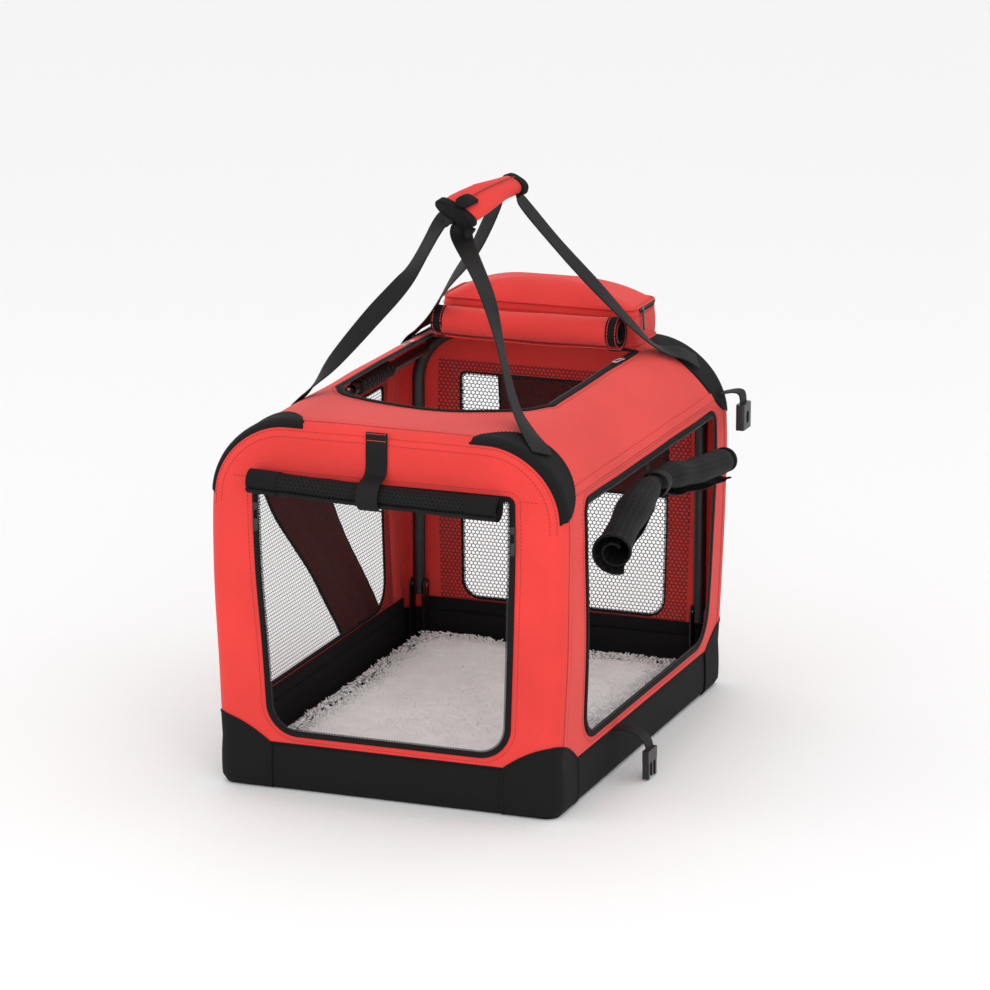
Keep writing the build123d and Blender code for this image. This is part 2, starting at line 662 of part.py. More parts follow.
with BuildPart() as female_buckle:
    with BuildSketch(Plane.XY.offset(340)):
        with Locations((UPPER_BUCKLE_X, UPPER_STRAP_Y)):
            RectangleRounded(11, 31, 3)
            Rectangle(6, 25, mode=Mode.SUBTRACT)
    extrude(amount=30)
    with BuildSketch(Plane.XY.offset(370)):
        with Locations((UPPER_BUCKLE_X, UPPER_STRAP_Y)):
            RectangleRounded(11, 31, 3)
    extrude(amount=2.2)
    with BuildSketch(side_plane(UPPER_BUCKLE_X - 10)):
        with Locations((UPPER_STRAP_Y, 355)):
            SlotOverall(16, 9, rotation=90)
    extrude(amount=20, mode=Mode.SUBTRACT)
save(female_buckle, "female_buckle")

# ---- zip sliders with pulls: each slider rides on its zip, its pull hangs or lies beside it ----
SLIDER_WIDTH = 7.0
SLIDER_LENGTH = 10.0
SLIDER_THICK = 3.0
PULL_LENGTH = 24.0
PULL_THICK = 2.0
ZIP_MIDDLE = DOOR_HALF_WIDTH + ZIP_WIDTH / 2
ROOF_ZIP_MIDDLE = ROOF_HALF_WIDTH + ZIP_WIDTH / 2
ZIP_FACE = GAP + ZIP_THICK + GAP
# For each zip: slider place, direction across the zip, direction out of the cloth.
ZIP_SLIDERS = {
    "front_left": ((-ZIP_MIDDLE, -END_FACE - ZIP_FACE, 345), (1, 0, 0), (0, -1, 0)),
    "front_right": ((ZIP_MIDDLE, -END_FACE - ZIP_FACE, 345), (1, 0, 0), (0, -1, 0)),
    "roof_left": ((-ROOF_ZIP_MIDDLE, 132, COVER_TOP + ZIP_FACE), (1, 0, 0), (0, 0, 1)),
    "roof_right": ((ROOF_ZIP_MIDDLE, 132, COVER_TOP + ZIP_FACE), (1, 0, 0), (0, 0, 1)),
}
for name, (place, across, outward) in ZIP_SLIDERS.items():
    face = Plane(origin=place, x_dir=across, z_dir=outward)
    with BuildPart(face) as slider:
        Box(SLIDER_WIDTH, SLIDER_LENGTH, SLIDER_THICK, align=(Align.CENTER, Align.CENTER, Align.MIN))
    save(slider, f"{name}_zip_slider")
    with BuildPart(face) as pull:
        with Locations((0, -SLIDER_LENGTH / 2 - GAP - PULL_LENGTH / 2, SLIDER_THICK / 2)):
            Box(SLIDER_WIDTH - 1, PULL_LENGTH, PULL_THICK)
    save(pull, f"{name}_zip_pull")
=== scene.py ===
import math

import bmesh
import bpy
import numpy as np
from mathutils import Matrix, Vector


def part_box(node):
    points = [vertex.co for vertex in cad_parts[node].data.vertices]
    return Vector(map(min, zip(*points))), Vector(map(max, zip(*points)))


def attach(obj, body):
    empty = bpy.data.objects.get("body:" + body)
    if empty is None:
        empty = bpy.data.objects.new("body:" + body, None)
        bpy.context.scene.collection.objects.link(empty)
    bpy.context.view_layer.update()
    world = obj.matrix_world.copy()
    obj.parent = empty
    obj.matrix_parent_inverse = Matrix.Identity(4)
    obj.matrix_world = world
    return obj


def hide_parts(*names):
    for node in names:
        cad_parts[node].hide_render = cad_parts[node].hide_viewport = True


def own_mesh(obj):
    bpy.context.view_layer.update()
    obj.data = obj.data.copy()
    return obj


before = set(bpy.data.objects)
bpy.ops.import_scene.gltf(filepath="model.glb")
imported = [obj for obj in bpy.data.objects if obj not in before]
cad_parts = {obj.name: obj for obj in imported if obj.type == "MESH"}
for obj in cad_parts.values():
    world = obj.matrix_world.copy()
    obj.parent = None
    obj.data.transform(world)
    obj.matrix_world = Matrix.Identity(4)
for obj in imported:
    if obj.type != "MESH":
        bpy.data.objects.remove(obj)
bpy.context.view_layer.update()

bl_info = {
    "name": "Folding pet carrier",
    "version": (1, 0, 0),
    "blender": (4, 5, 0),
    "location": "View3D > Sidebar > Carrier",
    "description": "Builds the cloth, mesh, webbing and padding of a folding pet carrier",
    "category": "Object",
}

MM = 0.001


def span(node):
    """Lowest and highest corner of a CAD node at rest, in millimetres."""
    low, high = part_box(node)
    return np.array(low) / MM, np.array(high) / MM


HALF_WIDTH = span("front_panel")[1][0]
COVER_TOP = span("roof_panel")[1][2]
END_FACE = span("rear_panel")[1][1]
SEAM = span("right_side_panel")[1][2]
BAND_TOP = span("base_band")[1][2]
ARCH = 90.0
ARCH_Z = COVER_TOP - ARCH
EDGE = 20.0
EDGE_RUN = EDGE * math.pi / 2
LEG = ARCH_Z - BAND_TOP
QUARTER = ARCH * math.pi / 2
FLAT = 2 * (HALF_WIDTH - ARCH)
GIRTH = 2 * LEG + 2 * QUARTER + FLAT
MIDDLE = GIRTH / 2
SIDE_RUN = LEG + ARCH * math.asin((SEAM - ARCH_Z) / ARCH)
ROOF_HALF = MIDDLE - SIDE_RUN
BARREL_END = END_FACE - EDGE


class CarrierSizes(bpy.types.PropertyGroup):
    """Sizes of the cloth and its trimmings."""

    cloth: bpy.props.FloatProperty(
        name="Cloth thickness", description="Thickness of the red cloth with its lining",
        default=0.0016, min=0.0003, unit="LENGTH",
    )
    belly: bpy.props.FloatProperty(
        name="Belly", description="How far the sides bow out below the roof seam",
        default=0.0085, min=0.0, unit="LENGTH",
    )
    stitch: bpy.props.FloatProperty(
        name="Stitch pitch", description="Distance from one stitch to the next",
        default=0.0046, min=0.002, unit="LENGTH",
    )
    hole: bpy.props.FloatProperty(
        name="Mesh pitch", description="Distance between the mesh's holes",
        default=0.0053, min=0.002, unit="LENGTH",
    )
    webbing: bpy.props.FloatProperty(
        name="Webbing width", description="Width of the handle webbing",
        default=0.028, min=0.01, unit="LENGTH",
    )


class CarrierColours(bpy.types.PropertyGroup):
    """Colours of the carrier's materials."""

    cloth: bpy.props.FloatVectorProperty(
        name="Cloth", description="Colour of the body's cloth", subtype="COLOR",
        size=4, min=0, max=1, default=(0.80, 0.050, 0.042, 1),
    )
    black: bpy.props.FloatVectorProperty(
        name="Black trim", description="Colour of the base band, patches and webbing",
        subtype="COLOR", size=4, min=0, max=1, default=(0.0062, 0.0056, 0.0060, 1),
    )
    fleece: bpy.props.FloatVectorProperty(
        name="Fleece", description="Colour of the mat", subtype="COLOR",
        size=4, min=0, max=1, default=(0.93, 0.925, 0.915, 1),
    )


# ---------------------------------------------------------------- shapes


def smooth(x, low, high):
    """0 below low, 1 above high, and a smooth S between."""
    v = np.clip((x - low) / (high - low), 0, 1)
    return v * v * (3 - 2 * v)


def settle(points):
    """Cloth under tension: the sides bow out as a quarter sine up to four fifths of their
    height and back as a quarter cosine; a slow sum of sines adds the soft waves of sewn cloth."""
    belly = bpy.context.scene.carrier_sizes.belly / MM
    p = np.array(points, float)
    x, y, z = p[..., 0].copy(), p[..., 1].copy(), p[..., 2].copy()
    up = (z - BAND_TOP) / (SEAM - BAND_TOP)
    bow = np.where(
        up < 0.8,
        np.sin(np.clip(up / 0.8, 0, 1) * math.pi / 2),
        np.cos(np.clip((up - 0.8) / 0.4, 0, 1) * math.pi / 2),
    )
    wave = np.sin(x / 47 + y / 61 + 0.7) * np.sin(z / 39 - y / 83 + 0.4)
    wave = wave + 0.5 * np.sin(y / 23 + x / 31) * np.sin(z / 27 + x / 45 + 1.9)
    at_side = smooth(np.abs(x), 110, 205)
    at_end = smooth(np.abs(y), 265, 303)
    at_top = smooth(z, 400, 446)
    p[..., 0] += np.sign(x) * at_side * bow * (belly + 0.9 * wave)
    p[..., 1] += np.sign(y) * at_end * bow * (1.6 + 0.7 * wave)
    sag = np.exp(-(((y + 150) / 60) ** 2)) * np.exp(-((x / 130) ** 2))
    p[..., 2] += at_top * (0.8 * wave - 3.5 * sag)
    return p


def arch(s, inset=0.0):
    """Point (x, z) and outward direction at the distance s round the cover's arch, from the
    right foot: a straight leg, a quarter circle, the flat top, and the same back down. It is
    worked out from the distance to the middle of the roof. inset moves it inwards."""
    s = np.asarray(s, float)
    side = np.where(s <= MIDDLE, 1.0, -1.0)
    away = np.abs(s - MIDDLE)
    turn = np.clip((away - FLAT / 2) / ARCH, 0, math.pi / 2)
    down = np.maximum(away - FLAT / 2 - QUARTER, 0)
    radius = ARCH - inset
    x = np.minimum(away, FLAT / 2) + radius * np.sin(turn)
    z = ARCH_Z + radius * np.cos(turn) - down
    return side * x, z, side * np.sin(turn), np.cos(turn)


def shell(s, t, end=-1, lift=0.0):
    """Points and outward directions of the cover near an end. s runs round the arch, t runs
    from the edge of the flat end face over a quarter circle and on along the roof or side;
    a negative t lies on the flat face. end is -1 at the front, 1 at the rear."""
    s, t = np.broadcast_arrays(np.asarray(s, float), np.asarray(t, float))
    turn = np.clip(t / EDGE, 0, math.pi / 2)
    inset = EDGE * (1 - np.sin(turn)) - np.minimum(t, 0) - lift * np.sin(turn)
    back = EDGE * (1 - np.cos(turn)) + np.maximum(t - EDGE_RUN, 0) - lift * np.cos(turn)
    x, z, nx, nz = arch(s, inset)
    points = np.stack([x, end * (END_FACE - back), z], -1)
    normals = np.stack([nx * np.sin(turn), end * np.cos(turn), nz * np.sin(turn)], -1)
    return points, normals


def barrel(s, y, lift=0.0):
    """Points and outward directions of the roof and sides: the arch carried along y."""
    s, y = np.broadcast_arrays(np.asarray(s, float), np.asarray(y, float))
    x, z, nx, nz = arch(s, -lift)
    return np.stack([x, y, z], -1), np.stack([nx, 0 * y, nz], -1)


def side_cloth(side, y, up, lift=0.0):
    """The same for a side: up is the distance up the cloth from the base band."""
    return barrel(np.where(side > 0, up, GIRTH - up), y, lift)


def end_cloth(end, x, z, lift=0.0):
    """The same for the flat face of an end."""
    x, z = np.broadcast_arrays(np.asarray(x, float), np.asarray(z, float))
    points = np.stack([x, 0 * x + end * (END_FACE + lift), z], -1)
    return points, np.broadcast_to(np.array([0.0, end, 0.0]), points.shape)


def rounded(corners, radii, arc=24, run=60):
    """A closed flat line round the corners, each cut by an arc of its radius: the arc's centre
    lies on the corner's bisector, and the straight runs between are spaced evenly."""
    corners = np.array(corners, float)
    pieces = []
    for i, (corner, radius) in enumerate(zip(corners, radii)):
        a = corners[i - 1] - corner
        b = corners[(i + 1) % len(corners)] - corner
        a, b = a / np.linalg.norm(a), b / np.linalg.norm(b)
        half = math.acos(np.clip(a @ b, -1, 1)) / 2
        centre = corner + (a + b) / np.linalg.norm(a + b) * radius / math.sin(half)
        start = corner + a * radius / math.tan(half) - centre
        stop = corner + b * radius / math.tan(half) - centre
        w = np.linspace(0, 1, arc)[:, None]
        swing = math.pi - 2 * half
        curve = (start * np.sin((1 - w) * swing) + stop * np.sin(w * swing)) / math.sin(swing)
        pieces.append(centre + curve)
    line = []
    for i, curve in enumerate(pieces):
        following = pieces[(i + 1) % len(pieces)][0]
        w = np.linspace(0, 1, run)[1:-1, None]
        line += [curve, curve[-1] * (1 - w) + following * w]
    return np.concatenate(line)


def grown(line, by):
    """A closed flat line moved outwards along its own normals."""
    along = np.roll(line, -1, 0) - np.roll(line, 1, 0)
    normal = np.stack([along[:, 1], -along[:, 0]], 1)
    normal /= np.linalg.norm(normal, axis=1)[:, None]
    area = np.sum(line[:, 0] * np.roll(line[:, 1], -1) - np.roll(line[:, 0], -1) * line[:, 1])
    return line + normal * by * np.sign(area)


def distances(line):
    """How far along the line each of its points lies."""
    return np.concatenate([[0], np.cumsum(np.linalg.norm(np.diff(line, axis=0), axis=1))])


def even(line, count, closed=False):
    """The line resampled at equal distances."""
    line = np.asarray(line, float)
    if closed:
        line = np.concatenate([line, line[:1]])
    run = distances(line)
    at = np.linspace(0, run[-1], count)
    return np.stack([np.interp(at, run, line[:, k]) for k in range(line.shape[1])], 1)


def through(points, count):
    """A smooth line through the points: a Catmull-Rom cubic between neighbours."""
    p = np.asarray(points, float)
    p = np.concatenate([2 * p[:1] - p[1:2], p, 2 * p[-1:] - p[-2:-1]])
    at = np.linspace(0, len(p) - 3 - 1e-9, count)
    i = at.astype(int)
    w = (at - i)[:, None]
    a, b, c, d = p[i], p[i + 1], p[i + 2], p[i + 3]
    return 0.5 * (
        2 * b + (c - a) * w + (2 * a - 5 * b + 4 * c - d) * w**2 + (3 * b - a - 3 * c + d) * w**3
    )


def paired(a, b):
    """Two numbers at each point of a grid, from a column, a row or a whole grid of each."""
    return np.stack(np.broadcast_arrays(a, b), -1)


def quads(rows, columns, flip=False):
    """The quads between neighbours of a grid that is numbered row by row."""
    first = (np.arange(rows - 1)[:, None] * columns + np.arange(columns - 1)).ravel()
    faces = np.stack([first, first + 1, first + columns + 1, first + columns], 1)
    return faces[:, ::-1] if flip else faces


def ring(outer, inner, rows, centre):
    """A grid between two closed flat lines: each outer point is joined to the inner point in
    the same direction from the centre, and the rows lie evenly between them."""
    centre = np.array(centre, float)
    outer = np.concatenate([outer, outer[:1]])
    off, hole = outer - centre, inner - centre
    angle = np.arctan2(off[:, 1], off[:, 0])
    reach = np.interp(
        angle, np.arctan2(hole[:, 1], hole[:, 0]), np.linalg.norm(hole, axis=1), period=2 * math.pi
    )
    near = centre + np.stack([np.cos(angle), np.sin(angle)], 1) * reach[:, None]
    w = np.linspace(0, 1, rows)[:, None, None]
    return near * (1 - w) + outer * w


def directions(path, up, closed=False):
    """Along, sideways and upward directions at each point of a path."""
    if closed:
        along = np.roll(path, -1, 0) - np.roll(path, 1, 0)
    else:
        along = np.gradient(path, axis=0)
    along = along / np.maximum(np.linalg.norm(along, axis=1), 1e-9)[:, None]
    up = np.broadcast_to(np.asarray(up, float), path.shape)
    side = np.cross(along, up)
    side = side / np.maximum(np.linalg.norm(side, axis=1), 1e-9)[:, None]
    return along, side, np.cross(side, along)


def sweep(path, profile, up, closed=False, caps=True, scale=1.0):
    """A profile carried along a path: its first number goes sideways and its second up, times
    the scale at that point. Gives points, faces and lengths along and round for the weave."""
    path = np.asarray(path, float)
    _, side, high = directions(path, up, closed)
    if closed:
        path, side, high = (np.concatenate([a, a[:1]]) for a in (path, side, high))
    profile = np.asarray(profile, float)
    if profile.ndim == 2:
        profile = np.broadcast_to(profile, (len(path),) + profile.shape)
    scale = np.broadcast_to(np.asarray(scale, float), len(path))[:, None, None]
    points = (
        path[:, None]
        + scale * profile[..., :1] * side[:, None]
        + scale * profile[..., 1:] * high[:, None]
    )
    rows, columns = points.shape[:2]
    run = distances(path)
    girth = distances(points[rows // 2])
    uv = paired(run[:, None], girth[None])
    faces = [quads(rows, columns)]
    if caps and not closed:
        loop = np.arange(columns - 1)
        faces += [loop[None], (loop[::-1] + (rows - 1) * columns)[None]]
    return points.reshape(-1, 3), faces, uv.reshape(-1, 2)


def flat_profile(width, thick, count=20):
    """A closed flat oval with square-ish ends: powers of a cosine and a sine."""
    a = np.linspace(0, 2 * math.pi, count + 1)
    c, s = np.cos(a), np.sin(a)
    return np.stack(
        [width / 2 * np.sign(c) * np.abs(c) ** 0.3, thick / 2 * np.sign(s) * np.abs(s) ** 0.6], 1
    )


def round_profile(radius, count=12):
    """A closed circle."""
    a = np.linspace(0, 2 * math.pi, count + 1)
    return np.stack([np.cos(a), np.sin(a)], 1) * radius


def stitches(path, up, pitch=None, length=3.0, radius=0.42, lift=0.2, across=False, closed=False):
    """Short threads on a line: each is a five-sided rod of four rings, thin at both ends,
    centred every pitch along the line, and lying along it or across it."""
    pitch = pitch or bpy.context.scene.carrier_sizes.stitch / MM
    path = np.asarray(path, float)
    up = np.broadcast_to(np.asarray(up, float), path.shape)
    if closed:
        path, up = np.concatenate([path, path[:1]]), np.concatenate([up, up[:1]])
    run = distances(path)
    at = (np.arange(max(int(run[-1] / pitch), 1)) + 0.5) * pitch
    along, side, high = directions(path, up)
    place, along, side, high = (
        np.stack([np.interp(at, run, a[:, k]) for k in range(3)], 1)
        for a in (path, along, side, high)
    )
    if across:
        along, side = side, along
    reach = np.array([-0.5, -0.3, 0.3, 0.5]) * length
    fat = np.array([0.35, 1, 1, 0.35]) * radius
    angle = np.arange(5) * 2 * math.pi / 5
    points = (
        (place + high * lift)[:, None, None]
        + along[:, None, None] * reach[None, :, None, None]
        + side[:, None, None] * (fat[:, None] * np.cos(angle))[None, ..., None]
        + high[:, None, None] * (fat[:, None] * np.sin(angle))[None, ..., None]
    )
    a, b = np.meshgrid(np.arange(3), np.arange(5), indexing="ij")
    a, b = a.ravel(), b.ravel()
    nxt = (b + 1) % 5
    one = np.stack([a * 5 + b, a * 5 + nxt, a * 5 + 5 + nxt, a * 5 + 5 + b], 1)
    start = np.arange(len(at))[:, None, None] * 20
    caps = np.stack([np.arange(5)[::-1], np.arange(5) + 15])
    faces = [(one[None] + start).reshape(-1, 4), (caps[None] + start).reshape(-1, 5)]
    return points.reshape(-1, 3), faces, np.zeros((len(at) * 20, 2))


DOUBLE, SLIVER = 2e-5, 1e-6


def facing(mesh, kind, vector):
    """How far the faces turn away from a point in mm, or along a direction: the sum over the
    faces of area times the dot product of the normal and that way."""
    count = len(mesh.polygons)
    area, normal, middle = np.zeros(count), np.zeros(count * 3), np.zeros(count * 3)
    mesh.polygons.foreach_get("area", area)
    mesh.polygons.foreach_get("normal", normal)
    mesh.polygons.foreach_get("center", middle)
    vector = np.array(vector, float)
    way = middle.reshape(-1, 3) - vector * MM if kind == "from" else vector
    return float(np.sum(area * np.sum(normal.reshape(-1, 3) * way, 1)))


def piece(name, parts, material, body, replaces=(), outward=None, thick=0.0,
          weld=True):
    """One mesh from parts of (points in mm, face arrays, lengths along the surface in mm).
    outward None is for a closed shape; a point, or a direction, turns an open sheet's faces away
    from it or along it."""
    points, loops, sizes, lengths, first = [], [], [], [], 0
    for part in parts:
        p = np.asarray(part[0], float).reshape(-1, 3)
        for f in part[1]:
            loops.append((f + first).ravel())
            sizes.append(np.full(len(f), f.shape[1]))
        lengths.append(part[2].reshape(-1, 2) if len(part) > 2 else np.zeros((len(p), 2)))
        points.append(p)
        first += len(p)
    points, lengths = np.concatenate(points) * MM, np.concatenate(lengths) * MM
    loops, sizes = np.concatenate(loops).astype(np.int32), np.concatenate(sizes)
    mesh = bpy.data.meshes.new(name)
    mesh.vertices.add(len(points))
    mesh.vertices.foreach_set("co", points.astype(np.float32).ravel())
    mesh.loops.add(len(loops))
    mesh.loops.foreach_set("vertex_index", loops)
    mesh.polygons.add(len(sizes))
    starts = np.concatenate([[0], np.cumsum(sizes)[:-1]]).astype(np.int32)
    mesh.polygons.foreach_set("loop_start", starts)
    mesh.update(calc_edges=True)
    mesh.uv_layers.new(name="Weave")
    mesh.uv_layers["Weave"].data.foreach_set("uv", lengths[loops].astype(np.float32).ravel())
    mesh.validate()
    work = bmesh.new()
    work.from_mesh(mesh)
    if weld:
        bmesh.ops.remove_doubles(work, verts=work.verts, dist=DOUBLE)
        bmesh.ops.dissolve_degenerate(work, edges=work.edges, dist=SLIVER)
    if outward is None:
        bmesh.ops.recalc_face_normals(work, faces=work.faces)
    work.to_mesh(mesh)
    if outward is not None and facing(mesh, *outward) < 0:
        bmesh.ops.reverse_faces(work, faces=work.faces)
        work.to_mesh(mesh)
    work.free()
    mesh.shade_smooth()
    made = bpy.data.objects.new(name, mesh)
    bpy.context.scene.collection.objects.link(made)
    mesh.materials.append(material)
    if thick:
        wall = made.modifiers.new("Wall", "SOLIDIFY")
        wall.thickness = thick * MM
        wall.offset = -1
        wall.use_even_offset = False
    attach(made, body)
    if replaces:
        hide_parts(*replaces)
    return made


def folds(obj):
    """Gives a piece its own copy of its mesh; nothing here crumples or folds it."""
    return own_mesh(obj)


def settled(part):
    """A part of a piece whose points follow the cloth's belly and waves."""
    return (settle(part[0]),) + tuple(part[1:])


def sheet_grid(points, lengths, flip=False):
    """A part from a grid of points and its lengths along and across."""
    rows, columns = points.shape[:2]
    return points.reshape(-1, 3), [quads(rows, columns, flip)], lengths.reshape(-1, 2)


# ---------------------------------------------------------------- outlines

DOOR = rounded([(-158, 380), (155, 380), (151, 72), (-144, 72)], [5, 5, 35, 35])
REAR_HOLE = rounded([(-140, 376), (140, 376), (138, 76), (-138, 76)], [9, 9, 24, 24])
WINDOW = rounded([(-233, 366), (243, 366), (232, 74), (-214, 74)], [14, 14, 42, 36])
WINDOW_CLOTH = WINDOW - [0, BAND_TOP]


NOSE = through([(-135, -112), (-104, -150), (0, -172), (104, -150), (135, -112)], 90)
ROOF_HOLE = np.concatenate([
    NOSE,
    np.stack([np.full(80, 135.0), np.linspace(-112, 190, 82)[1:-1]], 1),
    np.stack([np.linspace(135, -135, 80), np.full(80, 190.0)], 1),
    np.stack([np.full(80, -135.0), np.linspace(190, -112, 82)[1:-1]], 1),
])


def roof_cloth(line, lift=0.0):
    """Points on the roof from a flat line of (x, y), where x is counted along the cloth."""
    return barrel(MIDDLE - line[..., 0], line[..., 1], lift)


# ---------------------------------------------------------------- materials


class Wire:
    """An output socket. A sum written with it adds the Math nodes for that sum."""

    def __init__(self, recipe, socket):
        self.recipe, self.socket = recipe, socket

    def maths(self, operation, *others):
        """Adds a Math node on this value and the others."""
        values = {i: v for i, v in enumerate((self,) + others)}
        return self.recipe.node("ShaderNodeMath", {"operation": operation}, values)

    def __add__(self, other):
        return self.maths("ADD", other)

    __radd__ = __add__

    def __mul__(self, other):
        return self.maths("MULTIPLY", other)

    __rmul__ = __mul__

    def __sub__(self, other):
        return self.maths("SUBTRACT", other)

    def __rsub__(self, other):
        return (self * -1.0) + other

    def __truediv__(self, other):
        return self.maths("DIVIDE", other)

    def __abs__(self):
        return self.maths("ABSOLUTE")

    def wave(self, pitch):
        """1 at each whole pitch and 0 halfway between."""
        return (self * (2 * math.pi / pitch)).maths("COSINE") * 0.5 + 0.5

    def step(self, low, high):
        """0 below low, 1 above high."""
        return self.recipe.node(
            "ShaderNodeMapRange", {}, {0: self, 1: low, 2: high, 3: 0.0, 4: 1.0}
        )


class Recipe:
    def __init__(self, name):
        self.material = bpy.data.materials.new(name)
        self.material.use_nodes = True
        self.tree = self.material.node_tree
        self.shader = self.tree.nodes["Principled BSDF"]

    def node(self, kind, settings=None, sockets=None, output=0):
        """Adds a node: its settings first, then the values or links of its sockets."""
        made = self.tree.nodes.new(kind)
        for key, value in (settings or {}).items():
            setattr(made, key, value)
        for key, value in (sockets or {}).items():
            if isinstance(value, Wire):
                self.tree.links.new(value.socket, made.inputs[key])
            else:
                made.inputs[key].default_value = value
        return Wire(self, made.outputs[output])

    def place(self):
        """Object coordinates, in metres."""
        return self.node("ShaderNodeTexCoord", output=3)

    def lengths(self):
        """Lengths along the surface, in metres, as two numbers."""
        coordinates = self.node("ShaderNodeTexCoord", output=2)
        split = self.node("ShaderNodeSeparateXYZ", {}, {0: coordinates})
        return split, Wire(self, split.socket.node.outputs[1])

    def noise(self, scale, detail=3.0):
        """Soft noise over the object's own coordinates."""
        sockets = {"Vector": self.place(), "Scale": scale, "Detail": detail, "Roughness": 0.5}
        return self.node("ShaderNodeTexNoise", {}, sockets)

    def mix(self, share, a, b):
        """A colour between two, by the share of the second."""
        return self.node(
            "ShaderNodeMix", {"data_type": "RGBA"}, {0: share, 6: a, 7: b}, output=2
        )

    def finish(self, colour, rough, height=None, depth=0.0004, strength=0.6, **fixed):
        """Joins colour, roughness and a bump of that depth; fixed values go on the shader."""
        for name, value in (("Base Color", colour), ("Roughness", rough)):
            if isinstance(value, Wire):
                self.tree.links.new(value.socket, self.shader.inputs[name])
            else:
                self.shader.inputs[name].default_value = value
        if height is not None:
            bump = self.node(
                "ShaderNodeBump", {}, {"Height": height, "Strength": strength, "Distance": depth}
            )
            self.tree.links.new(bump.socket, self.shader.inputs["Normal"])
        for name, value in fixed.items():
            self.shader.inputs[name.replace("_", " ")].default_value = value
        return self.material


def tint(colour, by):
    """A colour made darker or lighter, no brighter than full."""
    return tuple(min(1.0, c * by) for c in colour[:3]) + (1.0,)


def woven(name, colour, thread=0.0011, rough=0.74, sheen=0.10, contrast=0.20):
    """Plain-woven polyester: over-and-under threads, a faint diagonal, slow uneven dye."""
    r = Recipe(name)
    u, v = r.lengths()
    weave = u.wave(thread) * v.wave(thread) + (1 - u.wave(thread)) * (1 - v.wave(thread))
    diagonal = (u + v).wave(thread * 2.6)
    cloudy = r.noise(7.0, 4.0)
    slub = r.noise(240.0, 2.0)
    base = r.mix(cloudy.step(0.3, 0.7), tint(colour, 0.86), tint(colour, 1.06))
    shade = (weave * 0.6 + diagonal * 0.25 + slub * 0.4) * contrast
    colour_out = r.mix(shade, base, tint(colour, 0.42))
    height = weave * 0.7 + diagonal * 0.3 + slub * 0.5
    return r.finish(colour_out, cloudy * 0.12 + (rough - 0.06), height, 0.00035, 0.55,
                    Sheen_Weight=sheen, Sheen_Roughness=0.45, Specular_IOR_Level=0.22)


def ribbed(name, colour):
    """Webbing: ribs across its length, a fine herring-bone, and a firmer edge."""
    r = Recipe(name)
    u, v = r.lengths()
    ribs = u.wave(0.0019)
    bone = (abs(v - 0.014) + u).wave(0.0034)
    fuzz = r.noise(300.0, 2.0)
    colour_out = r.mix(ribs * 0.5 + bone * 0.3 + fuzz * 0.3, tint(colour, 0.4), tint(colour, 1.2))
    return r.finish(colour_out, fuzz * 0.15 + 0.55, ribs + bone * 0.4 + fuzz * 0.3, 0.0004, 0.7,
                    Specular_IOR_Level=0.22)


def netting(name, colour, pitch, solid=False):
    """Knitted mesh: the distance to the nearest cell centre of a honeycomb, taken as the larger
    of the distance across and the slanted distance, leaves thread near the cells' edges."""
    r = Recipe(name)
    u, v = r.lengths()
    tall = pitch * math.sqrt(3)

    def centred(w, size, shift):
        return ((w + (shift + 40 * size)).maths("MODULO", size)) - size / 2

    ax, ay = centred(u, pitch, 0.0), centred(v, tall, 0.0)
    bx, by = centred(u, pitch, pitch / 2), centred(v, tall, tall / 2)
    first, second = ax * ax + ay * ay, bx * bx + by * by
    pick = first.maths("LESS_THAN", second)
    x, y = abs(ax * pick + bx * (1 - pick)), abs(ay * pick + by * (1 - pick))
    far = x.maths("MAXIMUM", x * 0.5 + y * (math.sqrt(3) / 2))
    thread = far.step(pitch * 0.385, pitch * 0.425)
    fuzz = r.noise(500.0, 2.0)
    twist = (u + v * 1.7).wave(0.0012)
    if solid:
        colour_out = r.mix(thread, tint(colour, 0.2), tint(colour, 2.0))
        return r.finish(colour_out, fuzz * 0.2 + 0.6, thread + twist * 0.2, 0.0008, 0.8,
                        Specular_IOR_Level=0.2)
    colour_out = r.mix(fuzz * 0.6 + twist * 0.4, tint(colour, 0.7), tint(colour, 1.5))
    material = r.finish(colour_out, fuzz * 0.2 + 0.5, twist + fuzz, 0.0003, 0.5)
    r.tree.links.new(thread.socket, r.shader.inputs["Alpha"])
    return material


def pile(name, colour):
    """Fleece: soft clumps over fine fibres, almost no gloss."""
    r = Recipe(name)
    clump, fibre = r.noise(42.0, 3.0), r.noise(420.0, 4.0)
    base = r.mix(clump.step(0.3, 0.7), tint(colour, 0.93), tint(colour, 1.03))
    return r.finish(base, 0.95, clump * 1.5 + fibre * 0.6, 0.0016, 0.4,
                    Sheen_Weight=0.6, Sheen_Roughness=0.6, Specular_IOR_Level=0.1)


def powder(name, colour):
    """Powder coat: a fine orange peel, a little gloss, thinner and brighter in small spots."""
    r = Recipe(name)
    peel, scuff = r.noise(900.0, 2.0), r.noise(60.0, 5.0)
    base = r.mix(scuff.step(0.62, 0.75) * 0.5, colour, tint(colour, 3.0))
    return r.finish(base, peel * 0.1 + 0.32, peel, 0.0002, 0.35)


def metal(name, colour, rough):
    """Plated steel: drawn lines and a faint bloom in the plating."""
    r = Recipe(name)
    bloom, line = r.noise(70.0, 3.0), r.noise(1400.0, 1.0)
    base = r.mix(bloom, tint(colour, 0.82), colour)
    return r.finish(base, bloom * 0.12 + line * 0.08 + rough, line, 0.0001, 0.2, Metallic=1.0)


